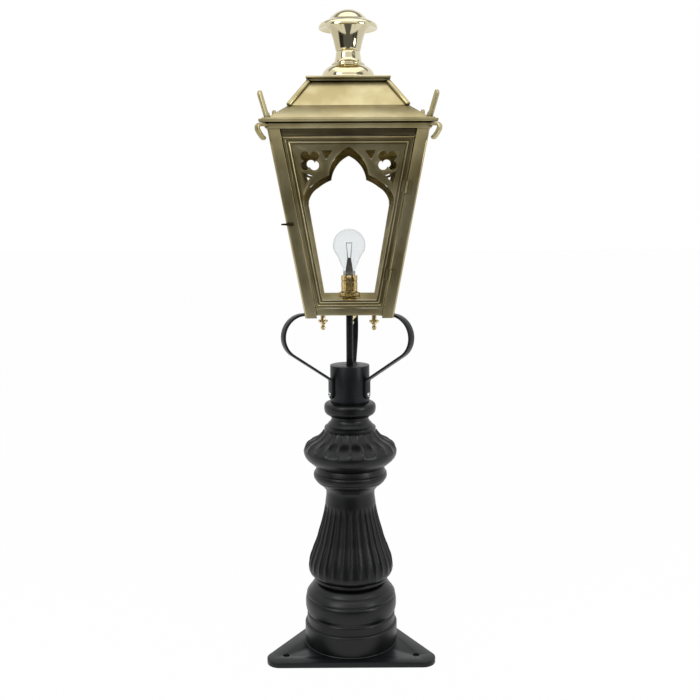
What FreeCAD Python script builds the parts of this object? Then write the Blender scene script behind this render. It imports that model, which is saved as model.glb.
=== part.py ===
"""Post top lantern: a square tapered brass lantern with pierced Gothic panels,
carried by three black straps on a fluted cast pedestal with a three-bolt base plate.

Millimetres, +Z up. The origin is on the pedestal's axis, at floor level, and -Y is the front.
Every driving dimension is a cell of the sheet, and the outlines are tied to those cells.
"""

import FreeCAD, Part
import math
import os
import types

import PartDesign
import Sketcher

doc = FreeCAD.newDocument("post_top_lantern")
Vector = FreeCAD.Vector
Rotation = FreeCAD.Rotation
Placement = FreeCAD.Placement


# ---------------------------------------------------------------- sizes

class Size:
    """A value of the sheet, or a sum made from such values, with its formula."""

    def __init__(self, number, formula):
        self.number = float(number)
        self.formula = formula

    def __add__(self, other):
        return Size(self.number + number_of(other), f"({self.formula} + {formula_of(other)})")

    def __radd__(self, other):
        return Size(number_of(other) + self.number, f"({formula_of(other)} + {self.formula})")

    def __sub__(self, other):
        return Size(self.number - number_of(other), f"({self.formula} - {formula_of(other)})")

    def __rsub__(self, other):
        return Size(number_of(other) - self.number, f"({formula_of(other)} - {self.formula})")

    def __mul__(self, other):
        return Size(self.number * number_of(other), f"({self.formula} * {formula_of(other)})")

    def __rmul__(self, other):
        return self.__mul__(other)

    def __truediv__(self, other):
        return Size(self.number / number_of(other), f"({self.formula} / {formula_of(other)})")

    def __neg__(self):
        return Size(-self.number, f"(0 - {self.formula})")


def number_of(value):
    return value.number if isinstance(value, Size) else float(value)


def formula_of(value):
    if isinstance(value, Size):
        return value.formula
    return f"({value:.8g})" if value < 0 else f"{value:.8g}"


def sine(angle):
    return Size(math.sin(math.radians(angle.number)), f"sin({angle.formula} * 1 deg)")


def cosine(angle):
    return Size(math.cos(math.radians(angle.number)), f"cos({angle.formula} * 1 deg)")


CELLS = [
    # base plate and its anchor bolts
    ("plate_side", 350, "side of the triangle before its corners are rounded"),
    ("plate_corner", 25, "corner radius of the base plate"),
    ("plate_thick", 10, "thickness of the base plate"),
    ("anchor_circle", 280, "pitch circle of the three anchor bolts"),
    ("anchor_hole", 6, "radius of an anchor bolt hole"),
    ("cable_hole", 10, "radius of the cable hole in the base plate"),
    # pedestal castings
    ("foot_radius", 88.5, "drum at the bottom of the foot casting"),
    ("foot_top", 133.5, "joint between foot and shaft castings"),
    ("foot_boss", 12, "length of the foot's boss, which holds the tie tube"),
    ("shaft_top", 357, "joint between shaft and capital castings"),
    ("capital_top", 480.5, "top of the capital casting"),
    ("shaft_bore", 34, "radius of the bore in the shaft casting"),
    ("core_radius", 24.15, "outer radius of the tie tube"),
    ("core_wall", 3.2, "wall of the tie tube"),
    ("shaft_flutes", 30, "flutes round the shaft"),
    ("capital_flutes", 22, "flutes round the capital"),
    # collar, stem and the three straps
    ("collar_radius", 36.7, "outer radius of the collar"),
    ("collar_wall", 3.7, "wall of the collar"),
    ("collar_top", 549.5, "top of the collar's disc"),
    ("collar_disc", 6, "thickness of the collar's disc"),
    ("stem_radius", 6.35, "outer radius of the stem tube"),
    ("stem_bore", 4.5, "bore of the stem tube"),
    ("stem_top", 664, "top of the stem tube"),
    ("strap_width", 16, "width of a strap"),
    ("strap_thick", 4, "thickness of a strap"),
    ("strap_end", 44, "inner end of a strap under the tray"),
    ("bow_centre", 92, "distance of a bow's centre from the axis"),
    ("bow_radius", 42, "outer radius of a bow"),
    ("strap_slope", 34, "slope of the straight run, degrees"),
    ("strap_bend", 6, "inner radius of the bend beside the collar"),
    ("strap_foot", 488.3, "lower end of a strap"),
    ("screw_height", 496.7, "height of the strap screws"),
    ("stud_circle", 54, "distance of the tray bolts from the axis"),
    ("frog_turn", -4, "turn of the three straps about the axis, degrees"),
    # lantern body
    ("body_base", 650, "underside of the lantern"),
    ("body_top", 967.6, "top of the glazed body"),
    ("base_half", 79, "half width of the body at its underside"),
    ("lean", 10, "lean of the panels from upright, degrees"),
    ("post_leg", 21, "leg of a corner post"),
    ("post_thick", 2, "sheet thickness of a corner post"),
    ("post_foot", 645, "lower end of the corner posts"),
    ("rail_low", 662.5, "top of the bottom frame"),
    ("rail_high", 955.8, "underside of the top frame"),
    ("tray_half", 63, "half width of the tray"),
    ("tray_thick", 2, "thickness of the tray"),
    # panels, along the leaning face
    ("frame_edge", 37, "corner edge to the opening's edge"),
    ("frame_back", 5, "depth of a panel frame's back below the face"),
    ("frame_face", 1, "depth of a panel frame's front below the face"),
    ("opening_low", 27.4, "lower edge of the opening"),
    ("opening_high", 295.5, "upper edge of the opening"),
    ("fret_thick", 1.5, "thickness of the pierced plate"),
    ("glass_thick", 3, "thickness of the glass"),
    ("glass_edge", 31, "corner edge to the edge of glass and pierced plate"),
    ("arch_apex", 291.9, "point of the arch, along the face"),
    ("arch_spring", 203, "height where the arch leaves the frame, along the face"),
    ("foil_across", 65.5, "centre of a quatrefoil from the middle of its panel"),
    ("foil_up", 268.9, "centre of a quatrefoil, along the face"),
    ("foil_reach", 11, "centre of a quatrefoil to the centre of a lobe"),
    ("foil_lobe", 7.9, "radius of a lobe"),
    # roof
    ("eave_half", 151, "half width of the cornice"),
    ("cornice_top", 984.3, "top of the cornice"),
    ("kink_half", 107.3, "half width where the roof steepens"),
    ("kink_height", 1008.8, "height where the roof steepens"),
    ("crown_half", 72.6, "half width at the top of the roof"),
    ("crown_height", 1053, "top of the roof's steep part"),
    ("cap_top", 1061.3, "top of the roof's cap plate"),
    ("finial_joint", 1122.8, "joint between the finial's two spun parts"),
    ("total_height", 1184.2, "top of the finial"),
    # lampholder and lamp
    ("holder_radius", 14.9, "outer radius of the lampholder's shell"),
    ("holder_bore", 11.4, "bore of the lampholder's shell"),
    ("holder_top", 716.4, "top of the lampholder"),
    ("ring_radius", 19.9, "radius of the shade ring"),
    ("ring_low", 676, "underside of the shade ring"),
    ("ring_high", 688, "top of the shade ring"),
    ("lamp_radius", 30, "radius of the lamp's glass"),
    ("lamp_top", 801, "top of the lamp's glass"),
    ("lamp_cap", 11, "radius of the lamp's cap"),
    # door fittings
    ("door_gap", 0.6, "gap between the door and the posts"),
    ("hinge_pin", 0.9, "radius of a hinge pin"),
    ("hinge_fit", 0.06, "radial clearance of a hinge pin"),
    ("knuckle", 1.8, "outer radius of a hinge knuckle"),
    ("hinge_length", 21, "length of a hinge"),
    ("hinge_out", 2.1, "height of a hinge pin above the face"),
    ("hinge_low", 73, "lower hinge, along the face"),
    ("hinge_high", 226, "upper hinge, along the face"),
    ("catch_up", 162.8, "height of the turn catch, along the face"),
    ("catch_arm", 18, "length of the catch from its pivot"),
    ("catch_inset", 9, "corner edge to the catch's pivot"),
]

sheet = doc.addObject("Spreadsheet::Sheet", "Sizes")
sizes = {}
for row, (alias, amount, meaning) in enumerate(CELLS, start=1):
    sheet.set(f"A{row}", meaning)
    sheet.set(f"B{row}", str(amount))
    sheet.setAlias(f"B{row}", alias)
    sizes[alias] = Size(amount, f"Sizes.{alias}")
doc.recompute()


# ---------------------------------------------------------------- drawing helpers

parts = []


def new_body(label):
    body = doc.addObject("PartDesign::Body", label)
    body.Label = label
    parts.append(body)
    return body


def origin_item(body, role):
    for item in body.Origin.OriginFeatures:
        if item.Role == role:
            return item


def bind(target, path, amount):
    """Ties a property to the sheet, or sets it where the amount is a plain number."""
    if isinstance(amount, Size):
        target.setExpression(path, amount.formula)
    elif "." in path:
        target.setExpression(path, formula_of(amount))
    else:
        setattr(target, path, amount)


def new_sketch(body, name, role="XY_Plane", across=0, up=0, out=0, tilt=0):
    """Sketch on one of the body's own planes, moved by across, up and out, and tilted about up."""
    sketch = body.newObject("Sketcher::SketchObject", name)
    sketch.AttachmentSupport = [(origin_item(body, role), "")]
    sketch.MapMode = "FlatFace"
    offset = Vector(number_of(across), number_of(up), number_of(out))
    sketch.AttachmentOffset = Placement(offset, Rotation(Vector(0, 1, 0), tilt))
    for path, amount in (("x", across), ("y", up), ("z", out)):
        if isinstance(amount, Size):
            sketch.setExpression(f"AttachmentOffset.Base.{path}", amount.formula)
    return sketch


def point_rules(geometry, corner, point):
    """A point's two distances from the sketch's origin, each with the size that drives it."""
    rules = []
    for kind, axis, amount in (("DistanceX", -2, point[0]), ("DistanceY", -1, point[1])):
        value = number_of(amount)
        if not isinstance(amount, Size) and abs(amount) < 1e-9:
            rules.append((Sketcher.Constraint("PointOnObject", geometry, corner, axis), None))
        else:
            rules.append((Sketcher.Constraint(kind, -1, 1, geometry, corner, value), amount))
    return rules


def radius_rule(geometry, amount):
    size = amount
    if isinstance(amount, Size) and amount.number < 0:
        size = -amount
    return Sketcher.Constraint("Radius", geometry, abs(number_of(amount))), size


def add_rules(sketch, rules):
    """Adds the constraints in one go, and ties to the sheet those that a size drives."""
    indices = sketch.addConstraint([rule for rule, size in rules])
    for index, (rule, size) in zip(indices, rules):
        if isinstance(size, Size):
            sketch.setExpression(f"Constraints[{index}]", size.formula)


def edge_curve(start, end):
    """Line, or arc where the end has a radius, and the numbers of its first and last corners."""
    first = Vector(number_of(start[0]), number_of(start[1]), 0)
    last = Vector(number_of(end[0]), number_of(end[1]), 0)
    if len(end) == 2:
        return Part.LineSegment(first, last), 1, 2
    radius = number_of(end[2])
    chord = last - first
    rise = math.sqrt(max(radius * radius - chord.Length ** 2 / 4, 0))
    left = Vector(-chord.y, chord.x, 0).normalize()
    centre = (first + last) / 2 + left * (rise if radius > 0 else -rise)
    begin, finish = (first, last) if radius > 0 else (last, first)
    from_angle = math.atan2(begin.y - centre.y, begin.x - centre.x)
    to_angle = math.atan2(finish.y - centre.y, finish.x - centre.x)
    circle = Part.Circle(centre, Vector(0, 0, 1), abs(radius))
    arc = Part.ArcOfCircle(circle, from_angle, to_angle)
    return (arc, 1, 2) if radius > 0 else (arc, 2, 1)


def draw_loop(sketch, points):
    """Closed outline. A third value is the radius of the arc that ends there, minus if clockwise."""
    edges = [edge_curve(points[index - 1], points[index]) for index in range(len(points))]
    ids = sketch.addGeometry([edge[0] for edge in edges], False)
    rules = []
    for index, point in enumerate(points):
        following = (index + 1) % len(points)
        joint = (ids[index], edges[index][2], ids[following], edges[following][1])
        rules.append((Sketcher.Constraint("Coincident", *joint), None))
        rules += point_rules(ids[index], edges[index][2], point)
        if len(point) == 3:
            rules.append(radius_rule(ids[index], point[2]))
    add_rules(sketch, rules)


def draw_circle(sketch, across, up, radius):
    centre = Vector(number_of(across), number_of(up), 0)
    circle = Part.Circle(centre, Vector(0, 0, 1), number_of(radius))
    geometry = sketch.addGeometry(circle, False)
    add_rules(sketch, [radius_rule(geometry, radius)] + point_rules(geometry, 3, (across, up)))


def draw_square(sketch, half):
    draw_loop(sketch, [(half, -half), (half, half), (-half, half), (-half, -half)])


def pad(body, sketch, length, both_ways=False):
    feature = body.newObject("PartDesign::Pad", sketch.Name + "_pad")
    feature.Profile = sketch
    bind(feature, "Length", length)
    feature.SideType = "Symmetric" if both_ways else "One side"
    sketch.Visibility = False
    return feature


def pocket(body, sketch, length, both_ways=False, turned=False):
    feature = body.newObject("PartDesign::Pocket", sketch.Name + "_pocket")
    feature.Profile = sketch
    bind(feature, "Length", length)
    feature.SideType = "Symmetric" if both_ways else "One side"
    feature.Reversed = turned
    return feature


def revolve(body, sketch, axis="V_Axis"):
    feature = body.newObject("PartDesign::Revolution", sketch.Name + "_turned")
    feature.Profile = sketch
    feature.ReferenceAxis = (sketch, [axis])
    feature.Angle = 360
    return feature


def turned_part(label, points, across=0):
    """A turned, spun or cast round piece: its half section goes round the upright axis."""
    body = new_body(label)
    sketch = new_sketch(body, label + "_section", "XZ_Plane", across=across)
    draw_loop(sketch, points)
    revolve(body, sketch)
    return body


def ring_pattern(body, feature, count):
    pattern = body.newObject("PartDesign::PolarPattern", feature.Name + "_ring")
    pattern.Originals = [feature]
    pattern.Axis = (origin_item(body, "Z_Axis"), [""])
    pattern.Angle = 360
    bind(pattern, "Occurrences", count)
    body.Tip = pattern
    return pattern


def loft(body, kind, sketches, ruled=True):
    feature = body.newObject("PartDesign::" + kind, sketches[0].Name + "_loft")
    feature.Profile = (sketches[0], [""])
    feature.Sections = [(sketch, [""]) for sketch in sketches[1:]]
    feature.Ruled = ruled
    return feature


def place(body, across=0, back=0, up=0, turn=0):
    """Stands a body in the model: turned about the upright axis, then moved."""
    spot = Vector(number_of(across), number_of(back), number_of(up))
    body.Placement = Placement(spot, Rotation(Vector(0, 0, 1), number_of(turn)))
    if isinstance(turn, Size):
        body.setExpression("Placement.Rotation.Angle", turn.formula)
    if isinstance(up, Size):
        body.setExpression("Placement.Base.z", up.formula)


S = types.SimpleNamespace(**sizes)


def half_at(height):
    """Half width of the leaning body at a height."""
    return S.base_half + (height - S.body_base) * sine(S.lean) / cosine(S.lean)


def half_along(distance, inset=0):
    """Half width of a face at a distance up its slope, less an inset."""
    return S.base_half + distance * sine(S.lean) - inset


def square_shell(label, sections):
    """Mitred square moulding: each section is half width outside, half width inside, height."""
    body = new_body(label)
    outlines = []
    for index, (outer, inner, height) in enumerate(sections):
        sketch = new_sketch(body, f"{label}_level_{index}", out=height)
        draw_square(sketch, outer)
        if inner is not None:
            draw_square(sketch, inner)
        outlines.append(sketch)
    loft(body, "AdditiveLoft", outlines)
    return body


# ---------------------------------------------------------------- pedestal

def base_plate():
    body = new_body("base_plate")
    outline = new_sketch(body, "plate_outline")
    spread = math.sqrt(3)
    inset = S.plate_side / (2 * spread) - S.plate_corner
    round_across = S.plate_corner * (spread / 2)
    round_up = S.plate_corner / 2
    front = -inset - S.plate_corner
    draw_loop(outline, [
        (inset * spread, front),
        (inset * spread + round_across, -inset + round_up, S.plate_corner),
        (round_across, inset * 2 + round_up),
        (-round_across, inset * 2 + round_up, S.plate_corner),
        (-(inset * spread) - round_across, -inset + round_up),
        (-(inset * spread), front, S.plate_corner),
    ])
    pad(body, outline, S.plate_thick)
    centre = new_sketch(body, "plate_cable_hole")
    draw_circle(centre, 0, 0, S.cable_hole)
    pocket(body, centre, S.plate_thick, turned=True)
    anchor = new_sketch(body, "plate_anchor_hole")
    draw_circle(anchor, 0, S.anchor_circle / 2, S.anchor_hole)
    hole = pocket(body, anchor, S.plate_thick, turned=True)
    ring_pattern(body, hole, 3)


def pedestal_foot():
    drum = S.foot_radius
    floor = S.plate_thick
    bore = S.core_radius
    inside = drum - 14.5
    turned_part("pedestal_foot", [
        (drum + 1, floor), (drum + 1, floor + 2.5), (drum, floor + 3.5), (drum, 47.5),
        (drum - 4, 51.5, 4.2), (drum - 4, 66), (drum - 6, 70), (85.2, 76), (85.2, 104.3, 55),
        (79.3, 116.4), (76.8, 119.6), (76.8, 121), (67.5, S.foot_top, -28),
        (bore, S.foot_top), (bore, S.foot_top - S.foot_boss), (inside, 95), (inside, floor),
    ])


def fluted_outline(radius, depth, count):
    """Round outline with an arc for each flute: hollow, or the plain round where the depth is 0."""
    half_pitch = math.pi / count.number
    half_chord = radius * math.sin(half_pitch)
    sag = depth - radius * (1 - math.cos(half_pitch))
    arc = -(half_chord ** 2 + sag ** 2) / (2 * sag)
    outline = []
    for flute in range(round(count.number)):
        angle = 2 * half_pitch * flute
        outline.append((radius * math.sin(angle), -radius * math.cos(angle), arc))
    return outline


def fluted_run(body, stations, count):
    """Fluted length of a casting, lofted through outlines that run out to a plain round."""
    outlines = []
    for index, (height, radius, depth) in enumerate(stations):
        outline = new_sketch(body, f"{body.Name}_flutes_{index}", out=height)
        draw_loop(outline, fluted_outline(radius, depth, count))
        outlines.append(outline)
    loft(body, "AdditiveLoft", outlines)


def core_bore(body, radius, low, high):
    """Bore for the tie tube, through the whole casting."""
    mouth = new_sketch(body, body.Name + "_bore", out=high)
    draw_circle(mouth, 0, 0, radius)
    pocket(body, mouth, high - low)


def pedestal_shaft():
    low = S.foot_top
    high = S.shaft_top
    flute_low = 141
    flute_high = 291
    body = turned_part("pedestal_shaft", [
        (0, low), (67.4, low), (69.4, low + 3.2), (73.3, flute_low), (0, flute_low),
    ])
    fluted_run(body, [
        (flute_low, 73.3, 0), (146, 77.2, 1.8), (152, 79.9, 3.2), (162, 80.8, 3.5), (173, 79.8, 3.5),
        (182, 77.4, 3.4), (197, 72, 3.3), (222, 62.9, 3), (250, 55.2, 2.6), (275, 50, 2.2),
        (flute_high, 47.4, 0),
    ], S.shaft_flutes)
    crown = new_sketch(body, "shaft_crown", "XZ_Plane")
    draw_loop(crown, [
        (0, flute_high), (47.4, flute_high), (46.2, 309, -60), (50.2, 315.5), (58.9, 324, -30),
        (66, 332.5), (69.2, 340, 10), (66.6, 347, 10), (65.2, 351), (63.4, high), (0, high),
    ])
    revolve(body, crown)
    core_bore(body, S.shaft_bore, low, high)


def pedestal_capital():
    low = S.shaft_top
    high = S.capital_top
    flute_low = 386
    flute_high = 425
    body = turned_part("pedestal_capital", [
        (0, low), (63.4, low), (72, low + 6.2), (82.6, low + 15.6), (87.8, flute_low, 24),
        (0, flute_low),
    ])
    fluted_run(body, [
        (flute_low, 87.8, 0), (390, 87, 2.4), (394.5, 85.4, 4), (400, 82, 5.2), (404.5, 76, 5.4),
        (409, 67, 5), (413, 61, 4.4), (417, 56.5, 3.6), (flute_high, 50.8, 2.4),
    ], S.capital_flutes)
    crown = new_sketch(body, "capital_crown", "XZ_Plane")
    draw_loop(crown, [
        (0, flute_high), (47.2, flute_high), (47.2, 427), (47.2, 433.4, 6), (43.4, 434.8),
        (43.4, 436.6), (34.9, 447.8, -40), (35.6, 452.4), (46.2, 459.6), (47.9, 464, 6),
        (47.9, 474.4), (44.2, 478.8, 6), (40.5, high), (0, high),
    ])
    revolve(body, crown)
    core_bore(body, S.core_radius + 0.35, low, high)


def core_tube():
    outer = S.core_radius
    low = S.foot_top - S.foot_boss
    high = S.collar_top - S.collar_disc
    turned_part("core_tube", [
        (outer - S.core_wall, low), (outer, low), (outer, high), (outer - S.core_wall, high),
    ])


def collar():
    outer = S.collar_radius
    inner = outer - S.collar_wall
    under = S.collar_top - S.collar_disc
    turned_part("collar", [
        (inner, S.capital_top), (outer, S.capital_top), (outer, S.collar_top),
        (S.stem_radius, S.collar_top), (S.stem_radius, under), (inner, under),
    ])


def stem_tube():
    foot = S.collar_top - 24
    turned_part("stem_tube", [
        (S.stem_bore, foot), (S.stem_radius, foot),
        (S.stem_radius, S.stem_top), (S.stem_bore, S.stem_top),
    ])


def strap(label, turn):
    """Flat strap: level under the tray, round the bow, straight down to the collar's side."""
    body = new_body(label)
    side = new_sketch(body, label + "_side", "XZ_Plane")
    top = S.body_base
    thick = S.strap_thick
    centre_up = top - S.bow_radius
    inner_bow = S.bow_radius - thick
    lean_in = sine(S.strap_slope)
    lean_up = cosine(S.strap_slope)
    wall = S.collar_radius
    bend_across = wall + thick + S.strap_bend
    outer_low = (S.bow_centre + S.bow_radius * lean_in, centre_up - S.bow_radius * lean_up)
    fall = (outer_low[0] - bend_across) * lean_in / lean_up
    bend_up = outer_low[1] - fall - S.strap_bend / lean_up
    bend_back = S.strap_bend + thick
    draw_loop(side, [
        (S.strap_end, top),
        (S.bow_centre, top),
        (outer_low[0], outer_low[1], -S.bow_radius),
        (bend_across - S.strap_bend * lean_in, bend_up + S.strap_bend * lean_up),
        (wall + thick, bend_up, S.strap_bend),
        (wall + thick, S.strap_foot),
        (wall, S.strap_foot),
        (wall, bend_up),
        (bend_across - bend_back * lean_in, bend_up + bend_back * lean_up, -bend_back),
        (S.bow_centre + inner_bow * lean_in, centre_up - inner_bow * lean_up),
        (S.bow_centre, top - thick, inner_bow),
        (S.strap_end, top - thick),
    ])
    pad(body, side, S.strap_width, both_ways=True)
    doc.recompute()
    round_ends(body, label)
    place(body, turn=S.frog_turn + turn)


def round_ends(body, label):
    """Rounds the two ends of a strap in plan and in elevation."""
    names = []
    for index, edge in enumerate(body.Shape.Edges, start=1):
        box = edge.BoundBox
        at_top_end = abs(box.XMax - S.strap_end.number) < 0.01 and box.ZLength > 1
        at_foot = abs(box.ZMax - S.strap_foot.number) < 0.01 and box.XLength > 1
        if (at_top_end or at_foot) and box.YLength < 0.01:
            names.append(f"Edge{index}")
    square_ended = body.Tip
    fillet = body.newObject("PartDesign::Fillet", label + "_ends")
    fillet.Base = (square_ended, names)
    bind(fillet, "Radius", S.strap_width / 2 - 0.1)


def strap_screws():
    """Dome-headed screws that hold the straps to the collar. Their shanks are inside the metal."""
    body = new_body("strap_screws")
    section = new_sketch(body, "screw_section", "XZ_Plane", up=S.screw_height)
    face = S.collar_radius + S.strap_thick
    head = 4.6
    rise = 3.2
    dome = (head ** 2 + rise ** 2) / (2 * rise)
    draw_loop(section, [(face, 0), (face + rise, 0), (face, head, dome)])
    screw = revolve(body, section, "H_Axis")
    ring_pattern(body, screw, 3)
    place(body, turn=S.frog_turn + 90)


def tray_bolts():
    """Hexagon heads on the tray, over the finial nuts."""
    body = new_body("tray_bolts")
    outline = new_sketch(body, "bolt_outline", across=S.stud_circle, out=S.body_base + S.tray_thick)
    corner = 4.6
    head = 3
    angles = [math.radians(60 * index) for index in range(6)]
    draw_loop(outline, [(corner * math.cos(angle), corner * math.sin(angle)) for angle in angles])
    ring_pattern(body, pad(body, outline, head), 3)
    place(body, turn=S.frog_turn + 90)


def finial_nuts():
    """Turned brass nuts, each with a flange and a ball, under the straps."""
    body = new_body("finial_nuts")
    section = new_sketch(body, "nut_section", "XZ_Plane", across=S.stud_circle)
    top = S.body_base - S.strap_thick
    ball = 4.5
    ball_up = top - 24
    neck = 2.6
    neck_up = ball_up + math.sqrt(ball ** 2 - neck ** 2)
    draw_loop(section, [
        (0, ball_up - ball), (neck, neck_up, ball), (neck, neck_up + 1.3), (9, top - 12.8),
        (9, top - 9.4), (ball, top - 9.4), (ball, top), (0, top),
    ])
    nut = revolve(body, section)
    ring_pattern(body, nut, 3)
    place(body, turn=S.frog_turn + 90)


def inside_wiring():
    """Lamp lead up the tie tube and stem, with an in-line connector at its lower end."""
    connector = new_body("inline_connector")
    outline = new_sketch(connector, "connector_outline", out=60)
    draw_square(outline, 8)
    pad(connector, outline, 37)
    turned_part("lamp_lead", [(0, 97), (3.2, 97), (3.2, S.stem_top), (0, S.stem_top)])


# ---------------------------------------------------------------- lantern body

def corner_post(label, side_x, side_y):
    """Folded post of L section that narrows the lantern towards its foot, outer edge rounded."""
    body = new_body(label)
    levels = []
    turn = side_x * side_y
    for index, height in enumerate((S.post_foot, S.body_top)):
        half = half_at(height)
        bend = 3.5
        level = new_sketch(body, f"{label}_level_{index}", out=height)
        legs = [
            (half - S.post_leg, half), (half - S.post_leg, half - S.post_thick),
            (half - S.post_thick, half - S.post_thick), (half - S.post_thick, half - S.post_leg),
            (half, half - S.post_leg), (half, half - bend), (half - bend, half, bend * turn),
        ]
        draw_loop(level, [(leg[0] * side_x, leg[1] * side_y) + leg[2:] for leg in legs])
        levels.append(level)
    loft(body, "AdditiveLoft", levels)
    if label.endswith("front_right"):
        notch = new_sketch(body, "strap_notch", out=S.body_base)
        notch_front = -64
        notch_back = -50
        notch_inner = 70
        notch_outer = 90
        draw_loop(notch, [
            (notch_outer, notch_front), (notch_outer, notch_back), (notch_inner, notch_back),
            (notch_inner, notch_front),
        ])
        pocket(body, notch, S.body_base - S.post_foot)


def body_frames():
    inner = S.tray_half
    square_shell("bottom_frame", [
        (half_at(S.body_base) - S.post_thick, inner, S.body_base),
        (half_at(S.rail_low) - S.post_thick, inner, S.rail_low),
    ])
    inner_top = half_at(S.rail_high) - 15
    square_shell("top_frame", [
        (half_at(S.rail_high) - S.post_thick, inner_top, S.rail_high),
        (half_at(S.body_top) - S.post_thick, inner_top, S.body_top),
    ])


def base_tray():
    body = new_body("base_tray")
    outline = new_sketch(body, "tray_outline", out=S.body_base)
    draw_square(outline, S.tray_half)
    draw_circle(outline, 0, 0, S.stem_radius)
    pad(body, outline, S.tray_thick)


def on_face(body, turn):
    """Leans a panel piece back against its side of the body. It was drawn upright, facing -Y."""
    side = Placement(Vector(0, 0, 0), Rotation(Vector(0, 0, 1), turn))
    foot = Vector(0, -S.base_half.number, S.body_base.number)
    face = Placement(foot, Rotation(Vector(1, 0, 0), S.lean.number))
    body.Placement = side.multiply(face)
    body.setExpression("Placement.Base.z", S.body_base.formula)


def leaning_loop(sketch, inset, low, high):
    """Outline that keeps its distance from the two leaning corner edges."""
    draw_loop(sketch, [
        (half_along(low, inset), low), (half_along(high, inset), high),
        (-half_along(high, inset), high), (-half_along(low, inset), low),
    ])


def panel_frame(label, turn, side_gap, low, high):
    """Moulded frame of one panel, with a raised bead round the opening."""
    body = new_body(label)
    back = new_sketch(body, label + "_outline", "XZ_Plane", out=-S.frame_back)
    leaning_loop(back, S.post_leg + side_gap, low, high)
    leaning_loop(back, S.frame_edge, S.opening_low, S.opening_high)
    pad(body, back, S.frame_back - S.frame_face)
    bead = new_sketch(body, label + "_bead", "XZ_Plane", out=-S.frame_face)
    bead_width = 3
    bead_edge = 1
    leaning_loop(bead, S.frame_edge - bead_edge - bead_width, S.opening_low - bead_edge - bead_width,
                 S.opening_high + bead_edge + bead_width)
    leaning_loop(bead, S.frame_edge - bead_edge, S.opening_low - bead_edge,
                 S.opening_high + bead_edge)
    pad(body, bead, 1.2)
    on_face(body, turn)
    return body


def glass_pane(label, turn):
    body = new_body(label)
    depth = S.frame_back + S.fret_thick + S.glass_thick
    outline = new_sketch(body, label + "_outline", "XZ_Plane", out=-depth)
    leaning_loop(outline, S.glass_edge, S.opening_low - 6, S.opening_high + 6)
    pad(body, outline, S.glass_thick)
    on_face(body, turn)


CUSP = (33.6, 244.6)
SHOULDER = (57.3, 230.9)


def arch_outline(foot_up, foot_across, top_up):
    """Outline of the pierced plate, with the cusped arch as its lower edge."""
    spring_across = half_along(S.arch_spring, S.frame_edge)
    right = [
        (half_along(foot_up, S.glass_edge), foot_up),
        (half_along(top_up, S.glass_edge), top_up),
    ]
    left = [(-x, up) for x, up in reversed(right)]
    return right + left + [
        (-foot_across, foot_up), (-spring_across, S.arch_spring),
        (-SHOULDER[0], SHOULDER[1], -40), (-CUSP[0], CUSP[1], -75), (0, S.arch_apex, -58.4),
        (CUSP[0], CUSP[1], -58.4), (SHOULDER[0], SHOULDER[1], -75),
        (spring_across, S.arch_spring, -40), (foot_across, foot_up),
    ]


def quatrefoil(hand):
    """Four round lobes on the diagonals, each of two arcs, meeting in four sharp cusps."""
    reach = S.foil_reach.number
    lobe = S.foil_lobe.number
    middle_off = reach / math.sqrt(2)
    cusp = middle_off + math.sqrt(lobe ** 2 - middle_off ** 2)
    tip = reach + lobe
    outline = []
    for quarter in range(4):
        for distance, degrees in ((cusp, 90 * quarter), (tip, 90 * quarter + 45)):
            angle = math.radians(degrees)
            across = S.foil_across * hand + distance * math.cos(angle)
            outline.append((across, S.foil_up + distance * math.sin(angle), S.foil_lobe))
    return outline


def fret(label, turn):
    """Pierced Gothic plate: a cusped arch, two quatrefoils and four small spandrel lights."""
    body = new_body(label)
    depth = S.frame_back + S.fret_thick
    plate = new_sketch(body, label + "_outline", "XZ_Plane", out=-depth)
    foot_up = 199
    draw_loop(plate, arch_outline(foot_up, half_along(foot_up, S.frame_edge), S.opening_high + 5.5))
    for hand in (-1, 1):
        draw_loop(plate, quatrefoil(hand))
        upper = [(26.8, 286.2), (45.8, 286.7), (37.5, 270.8)]
        lower = [(81.2, 251), (61.3, 244.1), (74.2, 230.8)]
        for light in (upper, lower):
            draw_loop(plate, [(across * hand, up) for across, up in light])
    pad(body, plate, S.fret_thick)
    on_face(body, turn)


# ---------------------------------------------------------------- roof and finial

def frustum(body, kind, half_low, half_high, low, high):
    """Square frustum: a wedge primitive, laid so that its own Y axis is upright."""
    wedge = body.newObject("PartDesign::" + kind, body.Name + "_" + kind)
    ends = (("Xmin", -half_low), ("Xmax", half_low), ("Zmin", -half_low), ("Zmax", half_low),
            ("X2min", -half_high), ("X2max", half_high), ("Z2min", -half_high),
            ("Z2max", half_high), ("Ymin", low), ("Ymax", high))
    for name, amount in ends:
        bind(wedge, name, amount.number)
        wedge.setExpression(name, amount.formula)
    wedge.Placement = Placement(Vector(0, 0, 0), Rotation(Vector(1, 0, 0), 90))
    return wedge


def roof_shell(label, half_low, half_high, low, high, wall):
    """One slope of the roof, open above and below."""
    body = new_body(label)
    frustum(body, "AdditiveWedge", half_low, half_high, low, high)
    frustum(body, "SubtractiveWedge", half_low - wall, half_high - wall, low, high)


HOOD_LOW = S.kink_half - 0.5
HOOD_HIGH = S.crown_half - 1.5


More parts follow.
